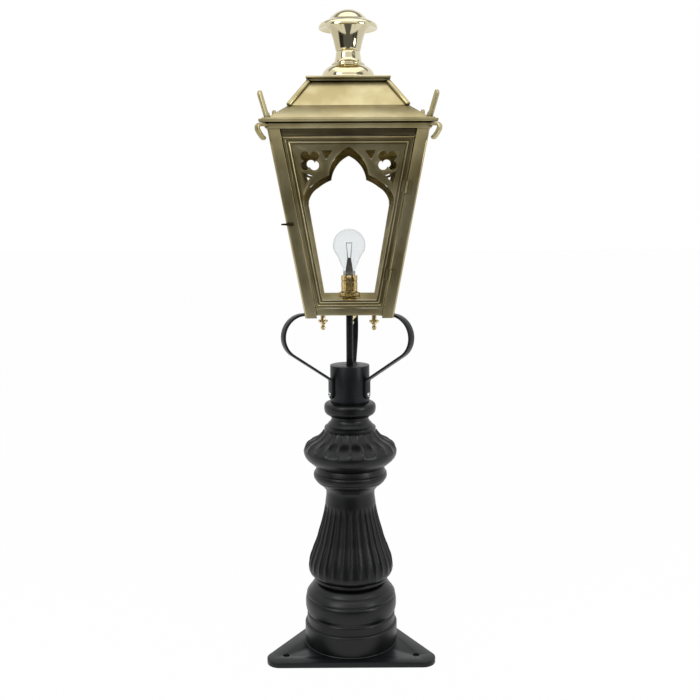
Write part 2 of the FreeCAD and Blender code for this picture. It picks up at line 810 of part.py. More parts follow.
def roof():
    eave = S.eave_half
    low = S.body_top
    high = S.cornice_top
    inner = 122
    square_shell("cornice", [
        (eave - 1.5, inner, low), (eave, inner, low + 1.2), (eave, inner, low + 5.8),
        (eave - 1.5, inner, low + 6.8), (eave - 4.2, inner, low + 7.6), (eave - 4.2, inner, high - 2.8),
        (eave - 3, inner, high - 2), (eave - 3, inner, high),
    ])
    roof_shell("roof_skirt", eave - 4.5, S.kink_half, high, S.kink_height, 4)
    roof_shell("roof_hood", HOOD_LOW, HOOD_HIGH, S.kink_height, S.crown_height, 2.5)
    square_shell("roof_cap", [
        (S.crown_half - 2.6, None, S.crown_height), (S.crown_half - 2.6, None, S.cap_top - 5),
        (S.crown_half, None, S.cap_top - 4), (S.crown_half + 0.4, None, S.cap_top - 1),
        (S.crown_half - 0.6, None, S.cap_top),
    ])


def hip_beads():
    """Round beads over the four seams of the hood, cut to sit astride them."""
    body = new_body("hip_beads")
    low = Vector(HOOD_LOW.number, HOOD_LOW.number, S.kink_height.number)
    high = Vector(HOOD_HIGH.number, HOOD_HIGH.number, S.crown_height.number)
    run = high - low
    bead = body.newObject("PartDesign::AdditiveCylinder", "hip_bead")
    bead.Radius = 4
    bead.Height = run.Length - 3
    bead.Placement = Placement(low + Vector(0, 0, 0.6), Rotation(Vector(0, 0, 1), run))
    doc.recompute()
    ring_pattern(body, bead, 4)
    doc.recompute()
    past = 20
    widen = (HOOD_LOW - HOOD_HIGH) / (S.crown_height - S.kink_height) * past
    ends = ((HOOD_LOW + widen, S.kink_height - past), (HOOD_HIGH - widen, S.crown_height + past))
    levels = []
    for index, (half, height) in enumerate(ends):
        level = new_sketch(body, f"bead_seat_{index}", out=height)
        draw_square(level, half)
        levels.append(level)
    body.Tip = loft(body, "SubtractiveLoft", levels)
    below = 30
    floor = new_sketch(body, "bead_floor", out=S.kink_height - below)
    draw_square(floor, S.eave_half)
    pocket(body, floor, below, turned=True)


def finial():
    low = S.cap_top
    joint = S.finial_joint
    top = S.total_height
    turned_part("finial_base", [
        (0, low), (50.5, low), (50.5, low + 13.5), (48, low + 18.4), (46.3, low + 19.7),
        (34.7, low + 33.4, 24.8), (30.4, low + 36.3), (28.6, low + 40.3, 2.3), (25, low + 40.7),
        (21.4, joint - 2), (22.6, joint - 1), (22.6, joint), (0, joint),
    ])
    dome_across = 32.4
    dome_rise = 14.2
    dome_radius = (dome_across ** 2 + dome_rise ** 2) / (2 * dome_rise)
    turned_part("finial_cap", [
        (0, joint), (21.3, joint), (27.4, joint + 19.8, -100), (35, joint + 36, -50),
        (49, joint + 34.6), (50.8, joint + 30.4), (52.3, joint + 30.8), (51.2, joint + 36),
        (47.5, top - 21, 8), (34.4, top - 15.6, -40), (dome_across, top - dome_rise),
        (0, top, dome_radius),
    ])


def corner_crockets():
    """Cast leaf at each eave corner: a rounded spike above, a claw hooked under the cornice."""
    diagonal = math.sqrt(2)
    corner = S.eave_half * diagonal
    hip_fall = (S.cornice_top - S.kink_height) / ((S.eave_half - 4.5 - S.kink_half) * diagonal)
    seat = (S.eave_half - 4.5) * diagonal

    def hip(across):
        return S.cornice_top + (across - seat) * hip_fall

    for index in range(4):
        body = new_body(f"corner_crocket_{index + 1}")
        side = new_sketch(body, f"crocket_side_{index + 1}", "XZ_Plane")
        draw_loop(side, [
            (183, hip(183)), (seat, hip(seat)), (corner - 1.6, S.cornice_top),
            (corner + 0.6, S.cornice_top - 5), (corner + 0.6, 968), (209, 961.5),
            (196.6, 951.6), (200, 946.6, 3.2), (214, 957), (218.8, 967), (218.8, 979),
            (209.5, 988), (194, 995.5), (192.8, 998), (207.8, 1022.5), (202.2, 1025.6, 3.3),
            (190.4, 1006.4), (187, 1004.5), (182.4, 996.5),
        ])
        pad(body, side, 4.6, both_ways=True)
        place(body, turn=45 + 90 * index)


# ---------------------------------------------------------------- door fittings

def face_frame(up_face, inset, out):
    """Frame on the front face: X to the right, -Y outwards, and Z along the right corner edge."""
    lean = math.radians(S.lean.number)
    edge = Vector(math.sin(lean), -math.sin(lean), math.cos(lean)).normalize()
    outward = Vector(0, -math.cos(lean), -math.sin(lean))
    along = Vector(0, -math.sin(lean), math.cos(lean))
    foot = Vector(half_along(up_face).number - inset, -S.base_half.number, S.body_base.number)
    spot = foot + along * up_face + outward * out
    across = edge.cross(outward)
    return Placement(FreeCAD.Matrix(
        across.x, -outward.x, edge.x, spot.x,
        across.y, -outward.y, edge.y, spot.y,
        across.z, -outward.z, edge.z, spot.z, 0, 0, 0, 1))


def hinge_box(name, x_low, x_high, out_low, out_high, z_low, z_high):
    box = doc.addObject("Part::Box", name)
    box.Length = x_high - x_low
    box.Width = out_high - out_low
    box.Height = z_high - z_low
    box.Placement = Placement(Vector(x_low, -out_high, z_low), Rotation())
    return box


def hinge_knuckle(name, z_low, z_high, radius):
    cylinder = doc.addObject("Part::Cylinder", name)
    bind(cylinder, "Radius", radius)
    cylinder.Height = z_high - z_low
    cylinder.Placement = Placement(Vector(0, 0, z_low), Rotation())
    return cylinder


def hinge_leaf(name, hand, reach, face_out, knuckle_low, knuckle_high):
    """Leaf of a lift-off hinge, drawn about its pin: a plate, and a lug that carries its knuckle."""
    half = S.hinge_length.number / 2
    clear = 2.15
    thick = 1.0
    low = face_out - S.hinge_out.number
    high = thick - S.hinge_out.number
    ends = sorted((clear * hand, reach * hand))
    lug = sorted((0.35 * hand, (clear + 0.5) * hand))
    joined = doc.addObject("Part::MultiFuse", name + "_joined")
    joined.Shapes = [
        hinge_box(name + "_plate", ends[0], ends[1], low, high, -half, half),
        hinge_box(name + "_lug", lug[0], lug[1], low, high + 0.5, knuckle_low, knuckle_high),
        hinge_knuckle(name + "_knuckle", knuckle_low, knuckle_high, S.knuckle),
    ]
    return joined


def hinge_pair(label, leaves):
    """The same leaf at both hinges, as one sub-part."""
    both = doc.addObject("Part::Compound", label)
    both.Label = label
    both.Links = leaves
    parts.append(both)


def door_hinges():
    half = S.hinge_length.number / 2
    gap = 0.15
    post_reach = 9
    door_reach = 8
    post_leaves = []
    door_leaves = []
    for index, up in enumerate((S.hinge_low, S.hinge_high)):
        inset = S.post_leg.number + S.door_gap.number / 2
        spot = face_frame(up.number, inset, S.hinge_out.number)
        knuckled = hinge_leaf(f"post_leaf_{index}", 1, post_reach, 0, -half, -gap)
        post_leaf = doc.addObject("Part::Fuse", f"pinned_leaf_{index}")
        post_leaf.Base = knuckled
        post_leaf.Tool = hinge_knuckle(f"hinge_pin_{index}", -half, half, S.hinge_pin)
        door_leaf = doc.addObject("Part::Cut", f"bored_leaf_{index}")
        door_leaf.Base = hinge_leaf(f"door_leaf_{index}", -1, door_reach, -1, gap, half)
        bore = S.hinge_pin + S.hinge_fit
        door_leaf.Tool = hinge_knuckle(f"hinge_bore_{index}", -half, half + 1, bore)
        post_leaf.Placement = spot
        door_leaf.Placement = spot
        post_leaves.append(post_leaf)
        door_leaves.append(door_leaf)
    hinge_pair("hinge_post_leaves", post_leaves)
    hinge_pair("hinge_door_leaves", door_leaves)


def on_left_post(body):
    """Stands a fitting on the front left post at the catch's height, facing out of the panel."""
    lean = math.radians(S.lean.number)
    along = Vector(0, -math.sin(lean), math.cos(lean))
    spot = Vector(0, -S.base_half.number, S.body_base.number) + along * S.catch_up.number
    spot.x = -half_along(S.catch_up, S.catch_inset).number
    body.Placement = Placement(spot, Rotation(Vector(1, 0, 0), S.lean.number))


def door_catch():
    """Turn catch on the left post. It points away from the door, and half a turn locks it."""
    body = new_body("door_catch")
    lever = new_sketch(body, "catch_lever", "XZ_Plane", out=0.7)
    draw_loop(lever, [
        (-4, 2.2), (-S.catch_arm + 1.2, 1.2), (-S.catch_arm + 1.2, -1.2, 1.25),
        (-4, -2.2), (2.4, -2.6), (2.4, 2.6, 3.2),
    ])
    draw_circle(lever, 0, 0, 1.36)
    pad(body, lever, 1.5)
    on_left_post(body)
    pivot = new_body("catch_screw")
    section = new_sketch(pivot, "catch_screw_section", "YZ_Plane")
    draw_loop(section, [(0, 0), (0, 1.3), (-2.3, 1.3), (-2.3, 2.9), (-3.6, 2.1), (-3.6, 0)])
    revolve(pivot, section, "H_Axis")
    on_left_post(pivot)


# ---------------------------------------------------------------- lampholder and lamp

def lampholder():
    low = S.ring_low
    high = S.holder_top
    shell = turned_part("lampholder_shell", [
        (S.holder_bore, S.ring_high), (S.holder_radius, S.ring_high), (S.holder_radius, high),
        (S.holder_bore, high),
    ])
    slot = new_sketch(shell, "bayonet_slot", "XZ_Plane")
    seat = high - 9.2
    draw_loop(slot, [
        (-1.4, seat - 1.3), (6.6, seat - 1.3), (6.6, high + 1), (3.8, high + 1), (3.8, seat + 1.3),
        (-1.4, seat + 1.3),
    ])
    cut = pocket(shell, slot, S.holder_radius + 1, turned=True)
    ring_pattern(shell, cut, 2)
    turned_part("shade_ring", [
        (13.4, low), (S.ring_radius, low), (S.ring_radius, low + 5), (S.holder_radius + 1, S.ring_high),
        (13.4, S.ring_high),
    ])
    turned_part("lampholder_base", [
        (0, S.stem_top), (S.stem_radius + 1.6, S.stem_top), (13, low), (13, low + 8), (0, low + 8),
    ])
    block = turned_part("contact_block", [
        (0, low + 8), (13, low + 8), (13, S.ring_high), (11, S.ring_high), (11, S.ring_high + 3),
        (0, S.ring_high + 3),
    ])
    contact = new_sketch(block, "contact_pad", out=S.ring_high + 3)
    draw_circle(contact, 4.5, 0, 1.6)
    pin = pad(block, contact, 5.9)
    ring_pattern(block, pin, 2)


def lamp():
    cap_foot = S.ring_high + 9
    collar_up = 723.7
    centre = S.lamp_top - S.lamp_radius
    start = math.radians(20)
    inner = S.lamp_radius - 0.8
    inside = [(inner * math.cos(math.radians(angle)), centre + inner * math.sin(math.radians(angle)))
              for angle in (60, 25, -10)]
    turned_part("lamp_glass", [
        (S.lamp_cap - 0.6, collar_up), (S.lamp_cap, collar_up), (15.2, 734), (19.6, 747),
        (S.lamp_radius * math.cos(start), centre - S.lamp_radius * math.sin(start)),
        (0, S.lamp_top, S.lamp_radius), (0, S.lamp_top - 0.8),
    ] + inside + [(18.2, 746.8), (14, 734.2), (S.lamp_cap - 0.6, 726)])
    cap = turned_part("lamp_cap", [
        (0, cap_foot), (6, cap_foot), (S.lamp_cap, cap_foot + 4), (S.lamp_cap, collar_up),
        (0, collar_up),
    ])
    pin = new_sketch(cap, "bayonet_pin", "XZ_Plane", out=S.lamp_cap - 1)
    draw_circle(pin, 0, S.holder_top - 9.2, 1)
    lug = pad(cap, pin, 3)
    ring_pattern(cap, lug, 2)
    filament(collar_up)


def filament(foot):
    """Glass pinch and the two lead wires, with the filament bar across them."""
    body = new_body("filament_mount")
    pinch = new_sketch(body, "pinch_outline", "XZ_Plane")
    draw_loop(pinch, [
        (7, foot), (3.4, 747), (5.6, 775.4), (4.9, 776), (2, 748), (-2, 748), (-4.9, 776),
        (-5.6, 775.4), (-3.4, 747), (-7, foot),
    ])
    pad(body, pinch, 1.2, both_ways=True)
    bar = new_sketch(body, "filament_outline", "YZ_Plane", out=-5.2)
    draw_circle(bar, 0, 775, 0.6)
    pad(body, bar, 10.4)


def build():
    base_plate()
    pedestal_foot()
    pedestal_shaft()
    pedestal_capital()
    core_tube()
    collar()
    stem_tube()
    for index, turn in enumerate((90, 210, 330), start=1):
        strap(f"strap_{index}", turn)
    strap_screws()
    tray_bolts()
    finial_nuts()
    inside_wiring()
    base_tray()
    body_frames()
    posts = {"front_left": (-1, -1), "front_right": (1, -1), "rear_right": (1, 1), "rear_left": (-1, 1)}
    for where, (side_x, side_y) in posts.items():
        corner_post("corner_post_" + where, side_x, side_y)
    lean_up = math.cos(math.radians(S.lean.number))
    low = (S.rail_low.number - S.body_base.number) / lean_up - 0.14
    high = (S.rail_high.number - S.body_base.number) / lean_up - 0.9
    panel_frame("door_frame", 0, S.door_gap, low + 0.6, high - 0.6)
    for where, turn in (("right", 90), ("rear", 180), ("left", 270)):
        panel_frame("panel_frame_" + where, turn, 0.1, low, high)
    for where, turn in (("front", 0), ("right", 90), ("rear", 180), ("left", 270)):
        fret("fret_" + where, turn)
        glass_pane("glass_" + where, turn)
    roof()
    hip_beads()
    finial()
    corner_crockets()
    door_hinges()
    door_catch()
    lampholder()
    lamp()


def check_and_write():
    doc.recompute()
    faults = [item.Name for item in doc.Objects if "Invalid" in item.State or "Error" in item.State]
    for part in parts:
        if part.Shape.isNull() or not part.Shape.isValid():
            faults.append(part.Label + " shape")
    if faults:
        raise RuntimeError("not built: " + ", ".join(faults))
    os.makedirs("parts", exist_ok=True)
    for part in parts:
        part.Shape.exportStep(f"parts/{part.Label}.step")
    print(len(parts), "sub-parts written")


build()
check_and_write()
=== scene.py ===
import math
import bmesh
import bpy
from mathutils import Matrix, Vector


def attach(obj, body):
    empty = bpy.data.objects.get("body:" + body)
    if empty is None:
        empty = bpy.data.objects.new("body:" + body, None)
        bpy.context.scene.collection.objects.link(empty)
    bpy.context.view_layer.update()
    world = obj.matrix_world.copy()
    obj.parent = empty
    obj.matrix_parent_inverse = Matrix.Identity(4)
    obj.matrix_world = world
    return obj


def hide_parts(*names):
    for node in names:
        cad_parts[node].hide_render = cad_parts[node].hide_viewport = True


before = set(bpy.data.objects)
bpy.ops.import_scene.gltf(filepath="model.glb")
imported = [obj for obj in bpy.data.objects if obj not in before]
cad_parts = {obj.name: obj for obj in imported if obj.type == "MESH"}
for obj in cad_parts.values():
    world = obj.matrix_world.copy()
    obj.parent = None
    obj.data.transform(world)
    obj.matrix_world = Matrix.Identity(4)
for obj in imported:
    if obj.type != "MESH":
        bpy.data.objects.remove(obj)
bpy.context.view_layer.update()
mm = 0.001
# vertices nearer than this, in metres, are one
touch = 0.00001
print("CAD frame loaded")


# camera: in front, above the lantern's middle, looking slightly down and a hair off level

camera = {"distance": 1.700, "across": 0.0006, "height": 0.8255, "pitch": 8.312, "roll": -0.3,
          "lens": 47.52, "sensor": 36}


def addCamera(settings):
    data = bpy.data.cameras.new("studioCamera")
    data.lens = settings["lens"]
    data.sensor_width = settings["sensor"]
    view = bpy.data.objects.new("studioCamera", data)
    view.location = (settings["across"], -settings["distance"], settings["height"])
    tilt = Matrix.Rotation(math.radians(90 - settings["pitch"]), 3, "X")
    roll = Matrix.Rotation(math.radians(settings["roll"]), 3, "Z")
    view.rotation_euler = (tilt @ roll).to_euler()
    bpy.context.collection.objects.link(view)
    bpy.context.scene.camera = view


addCamera(camera)
print("camera set")


# materials

def linear(hexColour):
    # sRGB hex to linear RGBA
    channels = [int(hexColour[index:index + 2], 16) / 255 for index in (1, 3, 5)]
    return [c / 12.92 if c <= 0.04045 else ((c + 0.055) / 1.055) ** 2.4 for c in channels] + [1]


def addNode(tree, kind, links=(), **values):
    # a node, its settings or input values by name, and the links into it
    node = tree.nodes.new(kind)
    for name, value in values.items():
        if hasattr(node, name):
            setattr(node, name, value)
        else:
            node.inputs[name.replace("_", " ")].default_value = value
    for source, output, target in links:
        tree.links.new(source.outputs[output], node.inputs[target])
    return node


def newMaterial(name):
    material = bpy.data.materials.new(name)
    material.use_nodes = True
    tree = material.node_tree
    return material, tree, tree.nodes["Principled BSDF"]


def setRamp(node, stops):
    stops = list(stops)
    ramp = node.color_ramp
    while len(ramp.elements) < len(stops):
        ramp.elements.new(0.5)
    for element, (position, colour) in zip(ramp.elements, stops):
        element.position = position
        element.color = colour if isinstance(colour, list) else linear(colour)


def setGloss(tree, shader, pattern, rough):
    # roughness between two values, after a noise pattern
    gloss = addNode(tree, "ShaderNodeMapRange", [(pattern, "Fac", "Value")])
    gloss.inputs["To Min"].default_value, gloss.inputs["To Max"].default_value = rough
    tree.links.new(gloss.outputs["Result"], shader.inputs["Roughness"])


# antiqued brass sheet: darkened in a bath, relieved with a soft mop and lacquered satin, so it is
# even on the open faces and keeps dark metal in the seams and inside corners
# the dark in seams and corners follows how closed in each spot is: partly this patina, partly
# painted shade where parts crowd it
antiqueBrass = {"deep": "#a3966c", "pale": "#c3b890", "patinaAndShadeDark": "#262010", "cloud": 70,
                "streak": 2.4, "toneAt": (0.35, 0.62), "rough": (0.25, 0.36), "bump": 0.02,
                "patinaAndShadeReach": 0.013, "patinaAndShadeAt": (0.3, 0.92), "patinaAndShadeShare": 0.9}
# the pierced plates lie on their panes, so only their own edges give them patina and painted shade
piercedBrass = {**antiqueBrass, "patinaAndShadeReach": 0.004}
# the mouldings and the hood keep the patina and painted shade only close into their corners
mitredBrass = {**antiqueBrass, "patinaAndShadeReach": 0.0045}
# the frame under the eaves is painted darker, as painted shade for the shadow of the cornice above
# it
paintedShadeBrass = {**antiqueBrass, "deep": "#5e563e", "pale": "#776d50"}
# which way the mop's streaks run: up the sheet, or along the level mouldings
alongUpright = (1, 1, 0.1)
alongLevel = (0.1, 0.1, 1)


def antiqueBrassMaterial(name, settings, along=alongUpright, alone=False):
    # alone: only the piece's own mesh casts the patina and painted shade in its corners
    material, tree, shader = newMaterial(name)
    place = addNode(tree, "ShaderNodeTexCoord")
    cloud = addNode(tree, "ShaderNodeTexNoise", [(place, "Object", "Vector")],
                    Scale=1000 / settings["cloud"], Detail=3, Roughness=0.5)
    stretch = addNode(tree, "ShaderNodeMapping", [(place, "Object", "Vector")])
    stretch.inputs["Scale"].default_value = along
    streak = addNode(tree, "ShaderNodeTexNoise", [(stretch, "Vector", "Vector")],
                     Scale=1000 / settings["streak"], Detail=2, Roughness=0.5)
    tone = addNode(tree, "ShaderNodeValToRGB", [(cloud, "Fac", "Fac")])
    setRamp(tone, zip(settings["toneAt"], (settings["deep"], settings["pale"])))
    # patina and painted shade: the colour is darkened where the surface is closed in by its own or
    # nearby parts
    shade = addNode(tree, "ShaderNodeAmbientOcclusion", samples=8, only_local=alone)
    shade.inputs["Distance"].default_value = settings["patinaAndShadeReach"]
    corner = addNode(tree, "ShaderNodeValToRGB", [(shade, "AO", "Fac")])
    setRamp(corner, zip(settings["patinaAndShadeAt"], (settings["patinaAndShadeDark"], "#ffffff")))
    colour = addNode(tree, "ShaderNodeMix", data_type="RGBA", blend_type="MULTIPLY")
    colour.inputs[0].default_value = settings["patinaAndShadeShare"]
    tree.links.new(tone.outputs["Color"], colour.inputs[6])
    tree.links.new(corner.outputs["Color"], colour.inputs[7])
    tree.links.new(colour.outputs[2], shader.inputs["Base Color"])
    setGloss(tree, shader, streak, settings["rough"])
    bump = addNode(tree, "ShaderNodeBump", [(streak, "Fac", "Height")],
                   Strength=settings["bump"], Distance=0.0004)
    tree.links.new(bump.outputs["Normal"], shader.inputs["Normal"])
    shader.inputs["Metallic"].default_value = 1
    return material


# polished brass: turned, cut and buffed, so it mirrors the room in bright and dark bands, softened
# by fine turning marks; the spun finial is paler and sharper
polishedBrass = {"dark": "#cbb078", "light": "#e9d6a4", "toneAt": (0.3, 0.6), "filmScale": 9,
                 "rough": (0.12, 0.2), "turning": 0.9}
paleBrass = {**polishedBrass, "dark": "#cbbf99", "light": "#dbd3b4", "rough": (0.08, 0.12),
             "turning": 1.2}


def polishedBrassMaterial(name, settings):
    material, tree, shader = newMaterial(name)
    place = addNode(tree, "ShaderNodeTexCoord")
    flat = addNode(tree, "ShaderNodeMapping", [(place, "Object", "Vector")])
    flat.inputs["Scale"].default_value = (0.06, 0.06, 1)
    rings = addNode(tree, "ShaderNodeTexNoise", [(flat, "Vector", "Vector")],
                    Scale=1000 / settings["turning"], Detail=2)
    film = addNode(tree, "ShaderNodeTexNoise", [(place, "Object", "Vector")],
                   Scale=settings["filmScale"], Detail=1)
    tone = addNode(tree, "ShaderNodeValToRGB", [(film, "Fac", "Fac")])
    setRamp(tone, zip(settings["toneAt"], (settings["dark"], settings["light"])))
    tree.links.new(tone.outputs["Color"], shader.inputs["Base Color"])
    setGloss(tree, shader, rings, settings["rough"])
    shader.inputs["Metallic"].default_value = 1
    return material


# cast iron under satin black paint: a sand-cast skin, with a grain of about a millimetre that the
# paint softens, so its highlights are broad and slightly broken
blackIron = {"colour": "#020304", "rough": (0.30, 0.42), "grain": 1.1, "swell": 14,
             "bump": 0.14, "skin": 0.36}
# black powder coat on rolled steel: smoother, with a fine orange peel and a more even shine
blackSteel = {"colour": "#090c0f", "rough": (0.30, 0.42), "grain": 0.8, "swell": 30,
              "bump": 0.04, "skin": 0.28}


def blackPaintMaterial(name, settings):
    material, tree, shader = newMaterial(name)
    place = addNode(tree, "ShaderNodeTexCoord")
    grain = addNode(tree, "ShaderNodeTexNoise", [(place, "Object", "Vector")],
                    Scale=1000 / settings["grain"], Detail=3)
    swell = addNode(tree, "ShaderNodeTexNoise", [(place, "Object", "Vector")],
                    Scale=1000 / settings["swell"], Detail=2)
    both = addNode(tree, "ShaderNodeMath", [(swell, "Fac", 0), (grain, "Fac", 1)],
                   operation="MULTIPLY")
    bump = addNode(tree, "ShaderNodeBump", [(both, "Value", "Height")],
                   Strength=settings["bump"], Distance=0.0005)
    tree.links.new(bump.outputs["Normal"], shader.inputs["Normal"])
    setGloss(tree, shader, swell, settings["rough"])
    shader.inputs["Base Color"].default_value = linear(settings["colour"])
    shader.inputs["Specular IOR Level"].default_value = settings["skin"]
    return material


# soda-lime glass: drawn flat in the panes, blown in the lamp, and clear but for a glint where its
# outer skin turns away
paneClear = {"colour": "#ffffff", "mirror": 0.05, "sheen": "#d8dcdc", "rough": 0.02}
lampClear = {**paneClear, "colour": "#f9fafa", "mirror": 0.2}


def glassMaterial(name, settings):
    material, tree, shader = newMaterial(name)
    clear = addNode(tree, "ShaderNodeBsdfTransparent")
    clear.inputs["Color"].default_value = linear(settings["colour"])
    sheen = addNode(tree, "ShaderNodeBsdfGlossy")
    sheen.inputs["Roughness"].default_value = settings["rough"]
    sheen.inputs["Color"].default_value = linear(settings["sheen"])
    edge = addNode(tree, "ShaderNodeLayerWeight", Blend=settings["mirror"])
    side = addNode(tree, "ShaderNodeNewGeometry")
    outside = addNode(tree, "ShaderNodeMath", [(side, "Backfacing", 1)], operation="SUBTRACT")
    outside.inputs[0].default_value = 1
    share = addNode(tree, "ShaderNodeMath", [(edge, "Fresnel", 0), (outside, "Value", 1)],
                    operation="MULTIPLY")
    mixed = addNode(tree, "ShaderNodeMixShader", [(share, "Value", 0)])
    tree.links.new(clear.outputs[0], mixed.inputs[1])
    tree.links.new(sheen.outputs[0], mixed.inputs[2])
    tree.links.new(mixed.outputs[0], tree.nodes["Material Output"].inputs["Surface"])
    tree.nodes.remove(shader)
    return material


def plainMaterial(name, colour, rough, metal, grain, bump, darker=0.75):
    # one colour, darker in patches of the grain's size in mm, which are slightly uneven as well
    material, tree, shader = newMaterial(name)
    place = addNode(tree, "ShaderNodeTexCoord")
    noise = addNode(tree, "ShaderNodeTexNoise", [(place, "Object", "Vector")],
                    Scale=1000 / grain)
    tone = addNode(tree, "ShaderNodeValToRGB", [(noise, "Fac", "Fac")])
    deep = [channel * darker for channel in linear(colour)[:3]] + [1]
    setRamp(tone, [(0.3, deep), (0.7, colour)])
    tree.links.new(tone.outputs["Color"], shader.inputs["Base Color"])
    height = addNode(tree, "ShaderNodeBump", [(noise, "Fac", "Height")],
                     Strength=bump, Distance=0.0002)
    tree.links.new(height.outputs["Normal"], shader.inputs["Normal"])
    shader.inputs["Roughness"].default_value = rough
    shader.inputs["Metallic"].default_value = metal
    return material


brassUpright = antiqueBrassMaterial("antiquedBrassSheet", antiqueBrass)
brassLevel = antiqueBrassMaterial("antiquedBrassMoulding", antiqueBrass, alongLevel)
brassPierced = antiqueBrassMaterial("antiquedBrassPierced", piercedBrass, alone=True)
brassMitred = antiqueBrassMaterial("antiquedBrassMitred", mitredBrass, alone=True)
brassHood = antiqueBrassMaterial("antiquedBrassHood", mitredBrass)
# painted shade: the darker brass for the frame under the cornice
brassPaintedShade = antiqueBrassMaterial("antiquedBrassPaintedShade", paintedShadeBrass, alongLevel)
brassGold = polishedBrassMaterial("polishedBrass", polishedBrass)
brassPale = polishedBrassMaterial("spunBrassPale", paleBrass)
ironBlack = blackPaintMaterial("castIronSatinPaint", blackIron)
steelBlack = blackPaintMaterial("steelPowderCoat", blackSteel)
paneGlass = glassMaterial("floatGlass", paneClear)
lampGlass = glassMaterial("blownLampGlass", lampClear)
# cast bronze, browned by the weather and dull: the turn catch and its screw
bronzeDark = plainMaterial("darkBronze", "#4b4130", rough=0.4, metal=1, grain=2, bump=0.1)
# turned stainless steel, which glints: screw and bolt heads
steelBright = plainMaterial("stainlessSteel", "#c9cacb", rough=0.22, metal=1, grain=1, bump=0.05)
# pressed aluminium, a soft silver: the lamp's cap
aluminiumCap = plainMaterial("aluminiumLampCap", "#b9b9b6", rough=0.32, metal=1, grain=1,
                             bump=0.08)
# moulded phenolic resin, dark with a soft shine: contact block and connector
mouldedResin = plainMaterial("mouldedInsulator", "#17130f", rough=0.45, metal=0, grain=1,
                             bump=0.1)
# extruded rubber sheath, black and nearly dull: the lamp lead
rubberBlack = plainMaterial("rubberSheath", "#0b0b0b", rough=0.55, metal=0, grain=1, bump=0.1)
# drawn nickel wire, drawn as a plain grey since it is too thin to mirror the room: the
# filament's mount
wireMetal = plainMaterial("nickelWire", "#8f8a84", rough=0.3, metal=0, grain=1, bump=0.05)
print("materials made")


# hand tools: picking in edit mode, and finishing a piece

def clearSelection():
    if bpy.context.mode != "OBJECT":
        bpy.ops.object.mode_set(mode="OBJECT")
    bpy.ops.object.select_all(action="DESELECT")


def startPiece(name):
    piece = bpy.context.active_object
    piece.name = name
    piece.data.name = name
    return piece


def takeUp(piece):
    clearSelection()
    piece.select_set(True)
    bpy.context.view_layer.objects.active = piece


def pick(piece, kind, test):
    # selects the vertices, edges or faces that pass the test, in edit mode
    bpy.ops.mesh.select_mode(type=kind)
    mesh = bmesh.from_edit_mesh(piece.data)
    items = {"VERT": mesh.verts, "EDGE": mesh.edges, "FACE": mesh.faces}[kind]
    bpy.ops.mesh.select_all(action="DESELECT")
    for item in items:
        item.select_set(test(item))
    mesh.select_flush_mode()
    bmesh.update_edit_mesh(piece.data)


def tidyMesh(angle=35):
    # doubles merged, faces outwards, back to object mode and shaded smooth
    bpy.ops.mesh.select_mode(type="VERT")
    bpy.ops.mesh.select_all(action="SELECT")
    bpy.ops.mesh.remove_doubles(threshold=touch)
    bpy.ops.mesh.normals_make_consistent(inside=False)
    bpy.ops.object.mode_set(mode="OBJECT")
    bpy.ops.object.shade_smooth_by_angle(angle=math.radians(angle))


def applyModifier(piece, kind, **values):
    takeUp(piece)
    modifier = piece.modifiers.new(kind, kind)
    for name, value in values.items():
        setattr(modifier, name, value)
    bpy.ops.object.modifier_apply(modifier=modifier.name)


def settle(piece, material, body, nodes=()):
    # applies the piece's place to its mesh, gives it its finish and lets it ride on its body
    takeUp(piece)
    bpy.ops.object.transform_apply(location=True, rotation=True, scale=True)
    piece.data.materials.clear()
    piece.data.materials.append(material)
    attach(piece, body)
    if nodes:
        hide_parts(*nodes)


def curvedProfile(points, step=9):
    # a profile in mm, with each arc broken into runs of about step degrees. An arc's radius is the
    # third value of its end point, negative where it bends the other way
    run = [points[0][:2]]
    for start, end in zip(points, points[1:]):
        if len(end) == 3:
            radius = end[2]
            ax, ay, bx, by = start[0], start[1], end[0], end[1]
            span = math.hypot(bx - ax, by - ay)
            rise = math.sqrt(max(radius * radius - span * span / 4, 0)) * (1 if radius > 0 else -1)
            cx = (ax + bx) / 2 - (by - ay) / span * rise
            cy = (ay + by) / 2 + (bx - ax) / span * rise
            first = math.atan2(ay - cy, ax - cx)
            sweep = (math.atan2(by - cy, bx - cx) - first + math.pi) % (2 * math.pi) - math.pi
            count = max(2, round(abs(math.degrees(sweep)) / step))
            reach = abs(radius)
            for index in range(1, count):
                angle = first + sweep * index / count
                run.append((cx + reach * math.cos(angle), cy + reach * math.sin(angle)))
        run.append(end[:2])
    return run


def turnPiece(name, profile, segments, closed=False, least=0.004):
    # lathe work: a ring is drawn along the profile by extruding and scaling it round the axis,
    # down to the least radius at the axis itself
    run = [(max(r, least) * mm, z * mm) for r, z in curvedProfile(profile)]
    if closed:
        run.append(run[0])
    clearSelection()
    bpy.ops.mesh.primitive_circle_add(vertices=segments, radius=run[0][0],
                                      location=(0, 0, run[0][1]),
                                      fill_type="NOTHING" if closed else "NGON")
    piece = startPiece(name)
    bpy.ops.object.mode_set(mode="EDIT")
    bpy.ops.mesh.select_all(action="SELECT")
    for (r0, z0), (r1, z1) in zip(run, run[1:]):
        bpy.ops.mesh.extrude_region_move(TRANSFORM_OT_translate={"value": (0, 0, z1 - z0)})
        scale = r1 / r0
        bpy.ops.transform.resize(value=(scale, scale, 1), center_override=(0, 0, z1))
    tidyMesh()
    bpy.ops.object.transform_apply(location=True, rotation=True, scale=True)
    return piece


